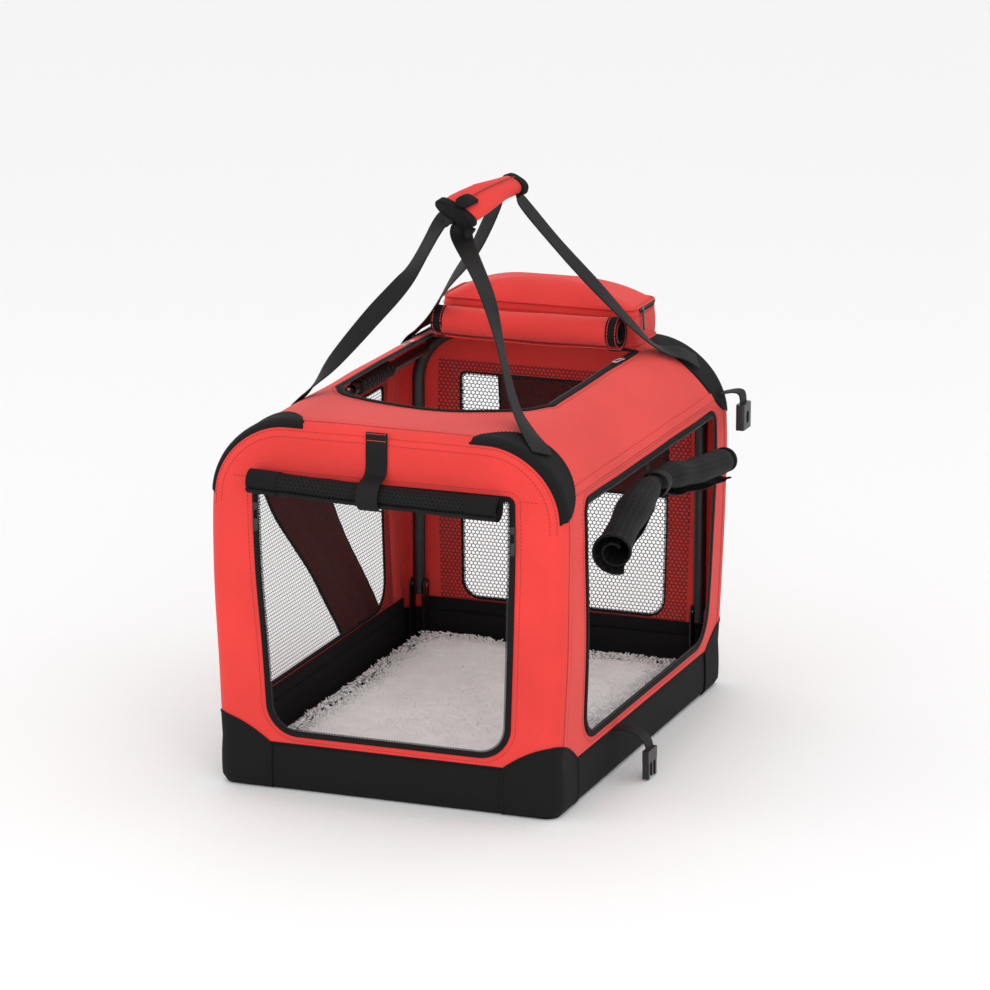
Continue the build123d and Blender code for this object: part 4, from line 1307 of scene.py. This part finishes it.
class CARRIER_OT_roof_roll(Piece, bpy.types.Operator):
    """Roof flap rolled up behind its opening, with bound and stitched ends"""

    bl_idname = "carrier.roof_roll"
    bl_label = "Rolled roof flap"

    CLOTH = (11.5, 20.6, 2.1, -1.9)
    BINDING = (10.8, 21.6, 2.1, -1.9)

    def execute(self, context):
        low, high = span("roof_flap_roll")
        y, z = (low[1] + high[1]) / 2, (low[2] + high[2]) / 2
        x = np.linspace(low[0], high[0], 80)
        w = x / high[0]
        path = np.stack([x, y + 2 * np.sin(w * 2.0), z + 0.6 - 1.2 * np.cos(w * 2.2)], 1)
        up = (0, 0, 1)
        scale = 1 + 0.02 * np.sin(w * 7) + 0.03 * w
        roll = rolled(path, up, *self.CLOTH, scale=scale)
        made = piece("roof_roll_cloth", [roll], MATERIALS["cloth"], "roof",
                     outward=("from", path[40]), thick=1.2, replaces=["roof_flap_roll"])
        bands, seams = [], []
        for part, size in ((path[:6], scale[0]), (path[-6:], scale[-1])):
            middle = part.mean(0)
            part = np.linspace(part[0], part[-1], 6) + np.sign(middle[0]) * np.array([0.8, 0, 0])
            bands.append(rolled(part, up, *self.BINDING, scale=size))
            for at in (0.16, 0.84):
                a = np.linspace(0, 2 * math.pi, 90)
                centre = part[0] * (1 - at) + part[-1] * at
                r = self.outer(a, size)
                line = centre + np.stack([0 * a, -r * np.cos(a), r * np.sin(a)], 1)
                up_line = line - centre
                seams.append(stitches(line, up_line, pitch=4.0, length=3.2, radius=0.5, lift=0.2))
        piece("roof_roll_binding", bands, MATERIALS["black"], "roof",
              outward=("from", path[40]), thick=1.6)
        piece("roof_roll_stitches", seams, MATERIALS["red_thread"], "roof",
              weld=False)
        x = np.linspace(-116, 116, 40)
        v = np.linspace(0, 1, 14)[:, None]
        start, stop = y + 6.0, span("roof_zip")[1][1] + 4
        grid = np.stack(np.broadcast_arrays(
            x[None], start + (stop - start) * v, COVER_TOP + 1.6 + 5.5 * (1 - v) ** 2), -1)
        lengths = paired(x[None], v * (stop - start))
        made = piece("roof_flap_root", [sheet_grid(grid, lengths)], MATERIALS["cloth"], "roof",
                     outward=("along", (0, 0, 1)), thick=1.0)
        return {"FINISHED"}

    def outer(self, angle, size):
        """Radius of the roll's outermost turn at an angle."""
        inner, outside, turns, start = self.BINDING
        total = turns * 2 * math.pi
        along = np.mod(angle - start, 2 * math.pi)
        last = along + 2 * math.pi * np.floor((total - along) / (2 * math.pi))
        return (inner + (outside - inner) * last / total) * size


class CARRIER_OT_pouch(Piece, bpy.types.Operator):
    """Zipped pouch on the rear half of the roof, with a domed lid"""

    bl_idname = "carrier.pouch"
    bl_label = "Roof pouch"

    EASE = 9.0
    DOME = 11.0
    UNZIPPED_FRONT = 24.0

    CORNER = 20.0

    def plan(self, out=0.0):
        """The pouch's outline seen from above: a rounded rectangle, moved outwards by out."""
        low, high = span("pouch")
        x, front, back = high[0] + self.EASE + out, low[1] - out, high[1] + out
        return rounded([(-x, front), (x, front), (x, back), (-x, back)], [self.CORNER + out] * 4,
                       arc=18, run=56)

    def execute(self, context):
        low, high = span("pouch")
        lid_top = span("pouch_lid")[1][2]
        line = self.plan()
        heights = np.linspace(low[2] - 1.0, high[2], 16)
        w = (heights - low[2]) / (high[2] - low[2])
        rows = []
        for h, share in zip(heights, w):
            out = -2.2 + 1.6 * math.sin(math.pi * np.clip(share, 0, 1)) - 2.2 * share
            ring_line = grown(line, out)
            lift = 1.4 * math.sin(math.pi * np.clip(share, 0, 1))
            crease = lift * np.sin(np.arange(len(line)) / 19) * 0.35
            ring_line = ring_line + (ring_line - ring_line.mean(0)) / 120 * crease[:, None]
            rows.append(np.concatenate([ring_line, np.full((len(line), 1), h)], 1))
        rows = np.stack(rows)
        rows = np.concatenate([rows, rows[:, :1]], 1)
        run = np.linspace(0, 620, rows.shape[1])
        lengths = paired(run[None], heights[:, None])
        made = piece("pouch_walls", [sheet_grid(rows, lengths)], MATERIALS["cloth"], "roof",
                     outward=("from", (0, (low[1] + high[1]) / 2, high[2] - 20)),
                     thick=1.2, replaces=["pouch"])
        edge = self.plan(-4.4)
        centre = edge.mean(0)
        share = np.linspace(0, 1, 26)[:, None, None]
        flat = centre + (edge - centre) * (1 - 0.985 * share)
        flat = np.concatenate([flat, flat[:, :1]], 1)
        dome = (lid_top + self.DOME - high[2]) * (1 - (1 - share[..., 0]) ** 2.6)
        wave = 0.6 * np.sin(flat[..., 0] / 23 + 1) * np.sin(flat[..., 1] / 17)
        z = high[2] + 0.6 + dome + wave * share[..., 0]
        lid = sheet_grid(np.concatenate([flat, z[..., None]], -1), flat)
        last = (25 * flat.shape[1] + np.arange(flat.shape[1] - 1))[None]
        lid[1].append(last)
        made = piece("pouch_lid_cloth", [lid], MATERIALS["cloth"], "pouch_lid",
                     outward=("along", (0, 0, 1)), thick=1.2, replaces=["pouch_lid"])
        self.trim(high)
        return {"FINISHED"}

    def trim(self, high):
        """Zip round the rear and sides, piping, seam at the foot and the slider."""
        line = even(self.plan(-3.2), 500, closed=True)[:-1]
        z = np.full((len(line), 1), high[2])
        away = line - line.mean(0)
        out = np.concatenate([away / np.linalg.norm(away, axis=1)[:, None], 0 * z], 1)
        path = np.concatenate([line, z], 1)
        zipped = line[:, 1] > line[:, 1].min() + self.UNZIPPED_FRONT
        run, run_out = path[zipped], out[zipped]
        tape = sweep(run - [0, 0, 2.6], flat_profile(6.5, 1.8, 12), run_out)
        bead = sweep(path + [0, 0, 1.4], round_profile(1.4, 8), out, closed=True)
        coil = stitches(run - [0, 0, 1.2], run_out, pitch=2.0, length=3.4, radius=0.8,
                        across=True, lift=1.0)
        piece("pouch_piping", [bead], MATERIALS["cloth"], "roof")
        piece("pouch_zip_tape", [tape], MATERIALS["black"], "roof")
        piece("pouch_zip_coil", [coil], MATERIALS["coil"], "roof", weld=False)
        foot = even(self.plan(-1.0), 500, closed=True)[:-1]
        path = np.concatenate([foot, 0 * z + COVER_TOP + 2.6], 1)
        welt = sweep(path, flat_profile(4.0, 2.4, 10), out, closed=True)
        piece("pouch_foot_welt", [welt], MATERIALS["cloth"], "roof")
        rows = [np.concatenate([even(self.plan(-2.2), 500, closed=True)[:-1], z - d], 1)
                for d in (8.0, 36.0)]
        seams = [stitches(r, out, lift=0.3, closed=True) for r in rows]
        piece("pouch_stitches", seams, MATERIALS["thread"], "roof", weld=False)
        place = np.array([high[0] + 6.6, high[1] - 66, high[2] - 1.5])
        w = np.linspace(-1, 1, 9)
        body = sweep(place + np.outer(w * 5, (0, 1, 0)), flat_profile(7.5, 3.4, 14), (1, 0, 0),
                     scale=1 - 0.25 * np.abs(w) ** 4)
        tab = sweep(place + np.outer(np.linspace(0, 25, 12), (0.12, -0.2, -0.97)) + [2.4, 0, -1],
                    flat_profile(5, 1.8, 12), (1, 0, 0.1))
        piece("pouch_slider", [body, tab], MATERIALS["coil"], "roof")


class CARRIER_OT_crescents(Piece, bpy.types.Operator):
    """Black crescent patches over the four upper corners"""

    bl_idname = "carrier.crescents"
    bl_label = "Corner crescents"

    MIDDLE_S = 379.0
    HALF = 82.0
    START = 15.0

    def execute(self, context):
        depth = {-1: 74.0, 1: 82.0}
        seams, rims = [], []
        for end, name in ((-1, "front"), (1, "rear")):
            for side, label in ((1, "right"), (-1, "left")):
                w = np.linspace(-1, 1, 71)
                s = self.MIDDLE_S + self.HALF * w
                s = s if side > 0 else GIRTH - s
                reach = (depth[end] - 12) * np.clip(1 - np.abs(w) ** 2.1, 0, 1) ** 0.62
                v = np.linspace(0, 1, 30)[:, None]
                t = self.START + reach[None] * v
                lift = 1.6 * smooth(np.minimum(v, 1 - v) * reach[None], -0.5, 2.5)
                points, up = shell(s[None], t, end, lift)
                points = settle(points)
                made = piece(f"crescent_{name}_{label}",
                             [sheet_grid(points, paired(s[None], t))],
                             MATERIALS["black"], "roof",
                             outward=("along", (side, end, 1)), thick=1.0,
                             replaces=["top_corner_patches"])
                for row in (0, -1):
                    rims.append(sweep(points[row], flat_profile(1.9, 0.9, 10), up[row]))
                for inset in (3.2, 6.4):
                    t_line = self.START + np.maximum(reach - inset, 0)
                    path, up_line = shell(s[2:-2], t_line[2:-2], end, 1.7)
                    seams.append(stitches(settle(path), up_line))
        piece("crescent_rims", rims, MATERIALS["black"], "roof")
        piece("crescent_stitches", seams, MATERIALS["black_thread"], "roof",
              weld=False)
        return {"FINISHED"}


def remesh_cloth(obj, voxel, pressure, cap):
    """Fills a closed form like a cushion: an even remesh, cloth under pressure for twenty
    frames with no gravity, and no point moving further than the cap (in mm)."""
    scene = bpy.context.scene
    cut = obj.modifiers.new("Even", "REMESH")
    cut.mode, cut.voxel_size = "VOXEL", voxel * MM
    graph = bpy.context.evaluated_depsgraph_get()
    mesh = bpy.data.meshes.new_from_object(obj.evaluated_get(graph))
    obj.modifiers.clear()
    materials = list(obj.data.materials)
    obj.data = mesh
    mesh.materials.clear()
    for material in materials:
        mesh.materials.append(material)
    count = len(mesh.vertices)
    start = np.zeros(count * 3, np.float32)
    mesh.vertices.foreach_get("co", start)
    cloth = obj.modifiers.new("Fill", "CLOTH")
    cloth.settings.use_pressure = True
    cloth.settings.uniform_pressure_force = pressure
    cloth.settings.effector_weights.gravity = 0
    for number in range(1, 21):
        scene.frame_set(number)
    graph = bpy.context.evaluated_depsgraph_get()
    moved = np.zeros(count * 3, np.float32)
    obj.evaluated_get(graph).data.vertices.foreach_get("co", moved)
    obj.modifiers.clear()
    shift = (moved - start).reshape(-1, 3)
    far = np.linalg.norm(shift, axis=1)
    shift *= np.minimum(1, cap * MM / np.maximum(far, 1e-9))[:, None]
    mesh.vertices.foreach_set("co", (start.reshape(-1, 3) + shift).ravel())
    scene.frame_set(1)
    mesh.shade_smooth()
    fine = obj.modifiers.new("Fine", "SUBSURF")
    fine.levels = fine.render_levels = 1
    mesh.update()
    return obj


class CARRIER_OT_handle(Piece, bpy.types.Operator):
    """Padded grip on four webbing legs that run to the roof's corners"""

    bl_idname = "carrier.handle"
    bl_label = "Carrying handle"

    LENGTH_WAY = (0.337, 0.925, 0.174)
    TILT = 22.0
    HALF_LENGTH = 57.0
    BACK = 15.0

    def axes(self):
        """The grip's length, width and thickness directions, tilted about its length."""
        length = np.array(self.LENGTH_WAY) / np.linalg.norm(self.LENGTH_WAY)
        level = np.array([0.940, -0.342, 0.0])
        tilt = math.radians(self.TILT)
        side = level * math.cos(tilt) - np.cross(level, length) * math.sin(tilt)
        return length, side, np.cross(side, length)

    @staticmethod
    def width(w):
        """Half width of the wrap: wide over the front straps, narrow at the rear."""
        return 28 - 12 * smooth(w, -0.9, 0.9)

    def grip(self):
        """A flat oval that narrows to the rear along a shallow arc, with its trims."""
        low, high = span("handle_grip")
        length, side, up = self.axes()
        middle = (low + high) / 2 + length * self.BACK
        w = np.linspace(-1, 1, 64)
        half = self.HALF_LENGTH
        arc = 4.0 * (1 - w**2)
        path = middle + np.outer(w * half, length) + np.outer(arc - 2, up)
        a = np.linspace(0, 2 * math.pi, 49)
        c, s = np.cos(a), np.sin(a)
        oval = np.stack([np.sign(c) * np.abs(c) ** 0.75, 9.0 * np.sign(s) * np.abs(s) ** 0.8], 1)
        wide = self.width(w)
        scale = 1 - 0.08 * w**2
        taper = np.stack([oval[None, :, 0] * wide[:, None],
                          np.broadcast_to(oval[:, 1], (64, 49))], -1)
        body = sweep(path, taper, up, scale=scale)
        made = piece("grip_pad", [body], MATERIALS["cloth"], "handle",
                     replaces=["handle_grip"])
        remesh_cloth(made, 4.0, 4.0, 6.0)
        crown = middle + np.outer(w[4:-4] * half, length) + np.outer(arc[4:-4] - 2, up)
        top = crown + up * (9.9 * scale[4:-4, None] + 3.4)
        seam = stitches(top, up, pitch=3.6, length=2.6, radius=0.45, lift=-0.1)
        piece("grip_seam", [seam, sweep(top - up * 0.5, flat_profile(1.6, 0.9, 8), up)],
              MATERIALS["thread"], "handle")
        trims = []
        for at in (-1.0, 1.0):
            run = np.linspace(at * 0.88, at * 1.04, 8)
            line = middle + np.outer(run * half, length) + np.outer(4 * (1 - run**2) - 2, up)
            cuff = oval * [self.width(at) + 1.5, 1.15]
            trims.append(sweep(line, cuff, up))
        piece("grip_end_binding", trims, MATERIALS["black"], "handle")
        tab_run = np.linspace(-1, 1, 14)
        line = (middle + length * (-half + 15) + np.outer(tab_run * 15, length)
                + up * 12.6 + np.outer(1.2 - 2.4 * tab_run**2, up) + side * 3)
        tab = sweep(line, flat_profile(19, 5.0, 20), up,
                    scale=np.sqrt(np.clip(1 - (np.abs(tab_run) * 0.97) ** 5, 0.05, 1)))
        piece("grip_keeper", [tab], MATERIALS["black"], "handle",
              replaces=["grip_keeper_tab"])
        return middle, length, side, up

    def strap(self, name, points, normals):
        """One webbing leg: a flat profile along a smooth line, turned by its normals."""
        count = 120
        path = through(points, count)
        up = through(normals, count)
        wide = bpy.context.scene.carrier_sizes.webbing / MM
        ribbon = sweep(path, flat_profile(wide, 2.0, 24), up)
        made = piece(f"handle_webbing_{name}", [ribbon], MATERIALS["webbing"], "roof",
                     replaces=[f"handle_strap_{name}"])
        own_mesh(made)

    def execute(self, context):
        middle, length, side, up = self.grip()
        low = middle - up * 15
        front, back = low - length * 52, low + length * 48
        foot_normal = (-0.55, 0.0, 0.83)
        self.strap("front_left", [
            front - side * 9 + up * 6, front - side * 17 - length * 8 - up * 12,
            (-46, -108, 588), (-88, -124, 536), (-128, -138, 486), (-150, -146, 458),
            (-163, -148, 443), (-176, -150, 430),
        ], [(-0.2, -0.75, 0.6), (-0.35, -0.7, 0.5), (-0.4, -0.8, 0.35), (-0.35, -0.85, 0.3),
            (-0.5, -0.7, 0.45), (-0.65, -0.25, 0.7), (-0.7, 0, 0.7), (-0.8, 0, 0.6)])
        self.strap("front_right", [
            front + side * 15 + up * 4, front + side * 19 - length * 6 - up * 12,
            (54, -114, 575), (90, -160, 520), (122, -206, 474), (150, -240, 452),
            (171, -262, 439.5), (184, -276, 430),
        ], [(0.2, -0.75, 0.6), (0.5, -0.6, 0.5), (0.75, -0.25, 0.5), (0.9, 0.1, 0.35),
            (0.85, 0.1, 0.5), (0.6, 0.1, 0.8), (0.45, -0.05, 0.88), (0.5, -0.05, 0.85)])
        self.strap("rear_left", [
            back - side * 8 + up * 6, back - side * 14 - up * 8 + length * 2,
            (-34, 84, 588), (-84, 126, 532), (-124, 170, 484), (-150, 206, 455),
            (-174, 234, 438.5), (-190, 252, 425),
        ], [(-0.4, 0.3, 0.8), (-0.5, -0.6, 0.5), (-0.5, -0.7, 0.45), (-0.6, -0.5, 0.6),
            (-0.6, -0.3, 0.7), (-0.4, -0.1, 0.9), foot_normal, (-0.65, 0, 0.75)])
        self.strap("rear_right", [
            back + side * 8 + up * 8, back + side * 15 - up * 2 + length * 6,
            (66, 108, 588), (104, 146, 530), (136, 186, 478), (158, 214, 447.5),
            (180, 238, 437.5), (194, 254, 425),
        ], [(0.4, 0.3, 0.8), (0.6, -0.2, 0.7), (0.62, -0.2, 0.7), (0.62, -0.2, 0.7),
            (0.5, -0.1, 0.85), (0.3, 0, 0.95), (0.6, 0, 0.8), (0.7, 0, 0.7)])
        return {"FINISHED"}


CLOSING_WEB = flat_profile(25, 1.8)


class CARRIER_OT_closing_straps(Piece, bpy.types.Operator):
    """Webbing loops that hold the two halves of the side-release buckle"""

    bl_idname = "carrier.closing_straps"
    bl_label = "Closing straps"

    def execute(self, context):
        low, high = span("lower_webbing")
        y = (low[1] + high[1]) / 2
        points = [(low[0] - 3, y, 55.5), (low[0] + 6, y, 58), (low[0] + 22, y, 58.5),
                  (low[0] + 37, y, 53), (low[0] + 45.5, y, 44), (low[0] + 48, y, 35)]
        path = through(points, 40)
        up = np.cross((0, 1, 0), np.gradient(path, axis=0))
        web = sweep(path, CLOSING_WEB, up)
        keeper = np.stack([np.full(12, low[0] - 0.6), np.full(12, y), np.linspace(48, 62, 12)], 1)
        pad = sweep(keeper, flat_profile(29, 2.2), (1, 0, 0))
        piece("lower_strap_webbing", [web, pad], MATERIALS["webbing"], "lower_strap",
              replaces=["lower_webbing"])
        low, high = span("upper_webbing")
        y = (low[1] + high[1]) / 2
        path = through([(low[0] + 0.6, y, 381), (low[0] + 10, y, 384), (low[0] + 24, y, 387),
                        (low[0] + 31.5, y, 384), (low[0] + 33.7, y, 371)], 40)
        up = np.cross((0, 1, 0), np.gradient(path, axis=0))
        web = sweep(path, CLOSING_WEB, up)
        piece("upper_strap_webbing", [web], MATERIALS["webbing"], "upper_strap",
              replaces=["upper_webbing"])
        return {"FINISHED"}


class CARRIER_OT_mat(Piece, bpy.types.Operator):
    """Fleece mat on the floor board, its pile combed into soft clumps"""

    bl_idname = "carrier.mat"
    bl_label = "Fleece mat"

    def slab(self, low, high):
        """A soft slab: its rim is a rounded rectangle, its section a flat oval, and slow sines
        hump its top."""
        line = rounded([(low[0], low[1]), (high[0], low[1]), (high[0], high[1]),
                        (low[0], high[1])], [26] * 4, arc=14, run=50)
        line = np.concatenate([line, line[:1]])
        centre = line.mean(0)
        half = (high[2] - low[2]) / 2
        rows = []
        for share in np.linspace(0.02, 1, 16):
            rows.append(centre + (line - centre) * share)
        inner = np.stack(rows)
        depth = 1 - np.linspace(0.02, 1, 16) ** 14
        middle = (low[2] + high[2]) / 2
        top = np.concatenate([inner, (middle + half * depth)[:, None, None]
                              * np.ones(inner.shape[:2] + (1,))], -1)
        bottom = np.concatenate([inner, (middle - half * depth)[:, None, None]
                                 * np.ones(inner.shape[:2] + (1,))], -1)
        grid = np.concatenate([top, bottom[::-1][1:]])
        part = sheet_grid(grid, grid[..., :2])
        columns = grid.shape[1]
        loop = np.arange(columns - 1)
        part[1].append(loop[None])
        part[1].append((loop[::-1] + (len(grid) - 1) * columns)[None])
        return part

    @staticmethod
    def hump(x, y):
        """Height of the mat's soft humps above its flat top."""
        wave = np.sin(x / 70 + 0.4) * np.sin(y / 88 + 1.1) + 0.5 * np.sin(x / 37 + y / 53)
        lift = 5 * np.exp(-(((x + 120) / 70) ** 2) - ((y - 190) / 80) ** 2)
        return 1.3 * wave + lift

    def execute(self, context):
        low, high = span("fleece_mat")
        inset = np.array([4, 4, 1.6])
        made = piece("fleece_mat_pad", [self.slab(low + inset, high - inset)],
                     MATERIALS["fleece"], "base", replaces=["fleece_mat"])
        remesh_cloth(made, 6.0, 4.0, 2.5)
        mesh = made.data
        co = np.zeros(len(mesh.vertices) * 3, np.float32)
        mesh.vertices.foreach_get("co", co)
        co = co.reshape(-1, 3)
        x, y = co[:, 0] / MM, co[:, 1] / MM
        top = smooth(co[:, 2] / MM, 27, 32)
        co[:, 2] = np.maximum(co[:, 2], (low[2] + 0.2) * MM)
        co[:, 2] += self.hump(x, y) * top * MM
        mesh.vertices.foreach_set("co", co.ravel())
        mesh.update()
        self.tufts(low, high)
        return {"FINISHED"}

    def tufts(self, low, high):
        """Locks of pile: three-sided blades with a bend halfway, leaning with slow swirls, more
        of them along the rim."""
        rng = np.random.default_rng(11)
        inside, rim = 16000, 3400
        x = rng.uniform(low[0] + 3, high[0] - 3, inside)
        y = rng.uniform(low[1] + 6, high[1] - 6, inside)
        along = rng.uniform(0, 1, rim)
        line = even(rounded([(low[0] + 5, low[1] + 5), (high[0] - 5, low[1] + 5),
                             (high[0] - 5, high[1] - 5), (low[0] + 5, high[1] - 5)], [28] * 4),
                    2000, closed=True)
        edge = line[(along * 1999).astype(int)]
        away = edge - edge.mean(0)
        away /= np.linalg.norm(away, axis=1)[:, None]
        x, y = np.concatenate([x, edge[:, 0]]), np.concatenate([y, edge[:, 1]])
        z = high[2] - 1.0 + self.hump(x, y)
        z[inside:] = rng.uniform(low[2] + 3, high[2] - 3, rim)
        swirl = 2.2 * np.sin(x / 41 + 1.0) + 2.0 * np.sin(y / 37 + x / 90)
        swirl = swirl + rng.normal(0, 0.7, len(x))
        lean = np.stack([np.cos(swirl), np.sin(swirl), np.full(len(x), 0.75)], 1)
        lean[inside:, :2] = away * 1.3 + rng.normal(0, 0.35, (rim, 2))
        lean[inside:, 2] = rng.uniform(-0.1, 0.7, rim)
        lean /= np.linalg.norm(lean, axis=1)[:, None]
        long = rng.uniform(4.0, 7.0, len(x))
        root = np.stack([x, y, z], 1)
        side = np.cross(lean, (0.3, 0.2, 1.0))
        side /= np.linalg.norm(side, axis=1)[:, None]
        third = np.cross(lean, side)
        a = np.arange(3) * 2 * math.pi / 3
        star = side[:, None] * np.cos(a)[None, :, None] + third[:, None] * np.sin(a)[None, :, None]
        fat = rng.uniform(0.8, 1.5, len(x))[:, None, None]
        bend = np.array([0, 0, -0.22])
        base = root[:, None] + star * fat
        mid = (root + lean * long[:, None] * 0.55)[:, None] + star * fat * 0.8
        tip = root + lean * long[:, None] + bend * long[:, None]
        points = np.concatenate([base, mid, tip[:, None]], 1).reshape(-1, 3)
        first = np.arange(len(x))[:, None, None] * 7
        one = np.array([[0, 1, 4, 3], [1, 2, 5, 4], [2, 0, 3, 5]])
        caps = np.array([[3, 4, 6], [4, 5, 6], [5, 3, 6], [2, 1, 0]])
        faces = [(one[None] + first).reshape(-1, 4), (caps[None] + first).reshape(-1, 3)]
        piece("fleece_pile", [(points, faces, np.zeros((len(points), 2)))],
              MATERIALS["fleece"], "base", weld=False)


class CARRIER_OT_stage(Piece, bpy.types.Operator):
    """Pale floor, soft studio lights and the camera"""

    bl_idname = "carrier.stage"
    bl_label = "Stage"

    def light(self, name, place, size, power, aim=(0, 0, 0.25)):
        """A square soft light that points at its aim."""
        data = bpy.data.lights.new(name, "AREA")
        data.shape, data.size, data.energy = "SQUARE", size, power
        obj = bpy.data.objects.new(name, data)
        bpy.context.scene.collection.objects.link(obj)
        obj.location = place
        obj.rotation_euler = (Vector(aim) - Vector(place)).to_track_quat("-Z", "Y").to_euler()

    def execute(self, context):
        scene = context.scene
        scene.view_settings.view_transform = "Standard"
        mesh = bpy.data.meshes.new("floor")
        reach = 9.0
        mesh.from_pydata([(-reach, -reach, 0), (reach, -reach, 0), (reach, reach, 0),
                          (-reach, reach, 0)], [], [(0, 1, 2, 3)])
        floor = bpy.data.objects.new("floor", mesh)
        scene.collection.objects.link(floor)
        r = Recipe("Pale floor")
        mesh.materials.append(r.finish((0.90, 0.90, 0.90, 1), 0.7))
        world = bpy.data.worlds.new("Studio")
        world.use_nodes = True
        world.node_tree.nodes["Background"].inputs[0].default_value = (1, 1, 1, 1)
        world.node_tree.nodes["Background"].inputs[1].default_value = 1.0
        scene.world = world
        self.light("key", (2.0, -3.4, 1.9), 2.2, 30)
        self.light("top", (0.3, 0.2, 3.2), 2.6, 6)
        self.light("low", (0.3, -3.6, 0.8), 1.6, 13, aim=(0, 0, 0.1))
        self.light("fill", (-2.8, -1.6, 1.4), 2.4, 5)
        azimuth, elevation, distance = math.radians(20.73), math.radians(14.5), 5.883
        aim = Vector((0.0219, 0, 0.3002))
        back = Vector((math.sin(azimuth) * math.cos(elevation),
                       -math.cos(azimuth) * math.cos(elevation), math.sin(elevation)))
        data = bpy.data.cameras.new("camera")
        data.lens, data.sensor_width = 176.8, 36.0
        data.clip_end = 50
        camera = bpy.data.objects.new("camera", data)
        scene.collection.objects.link(camera)
        camera.location = aim + back * distance
        camera.rotation_euler = (-back).to_track_quat("-Z", "Y").to_euler()
        scene.camera = camera
        return {"FINISHED"}


OPERATORS = (
    CARRIER_OT_frame, CARRIER_OT_base, CARRIER_OT_ends, CARRIER_OT_sides, CARRIER_OT_roof,
    CARRIER_OT_zips, CARRIER_OT_zip_pulls, CARRIER_OT_windows, CARRIER_OT_flaps,
    CARRIER_OT_door_roll, CARRIER_OT_side_roll, CARRIER_OT_roof_roll, CARRIER_OT_pouch,
    CARRIER_OT_crescents, CARRIER_OT_handle, CARRIER_OT_closing_straps, CARRIER_OT_mat,
    CARRIER_OT_stage,
)


class CARRIER_PT_pieces(bpy.types.Panel):
    """Lists the carrier's sizes, colours and pieces."""

    bl_label = "Folding pet carrier"
    bl_idname = "CARRIER_PT_pieces"
    bl_space_type = "VIEW_3D"
    bl_region_type = "UI"
    bl_category = "Carrier"

    def draw(self, context):
        column = self.layout.column()
        for group in (context.scene.carrier_sizes, context.scene.carrier_colours):
            for name in group.__annotations__:
                column.prop(group, name)
        for operator in OPERATORS:
            column.operator(operator.bl_idname)


CLASSES = (CarrierSizes, CarrierColours) + OPERATORS + (CARRIER_PT_pieces,)


def register():
    for cls in CLASSES:
        bpy.utils.register_class(cls)
    bpy.types.Scene.carrier_sizes = bpy.props.PointerProperty(type=CarrierSizes)
    bpy.types.Scene.carrier_colours = bpy.props.PointerProperty(type=CarrierColours)


def unregister():
    del bpy.types.Scene.carrier_colours
    del bpy.types.Scene.carrier_sizes
    for cls in reversed(CLASSES):
        bpy.utils.unregister_class(cls)


def main():
    register()
    make_materials()
    for operator in OPERATORS:
        group, name = operator.bl_idname.split(".")
        getattr(getattr(bpy.ops, group), name)()


if __name__ == "__main__":
    main()
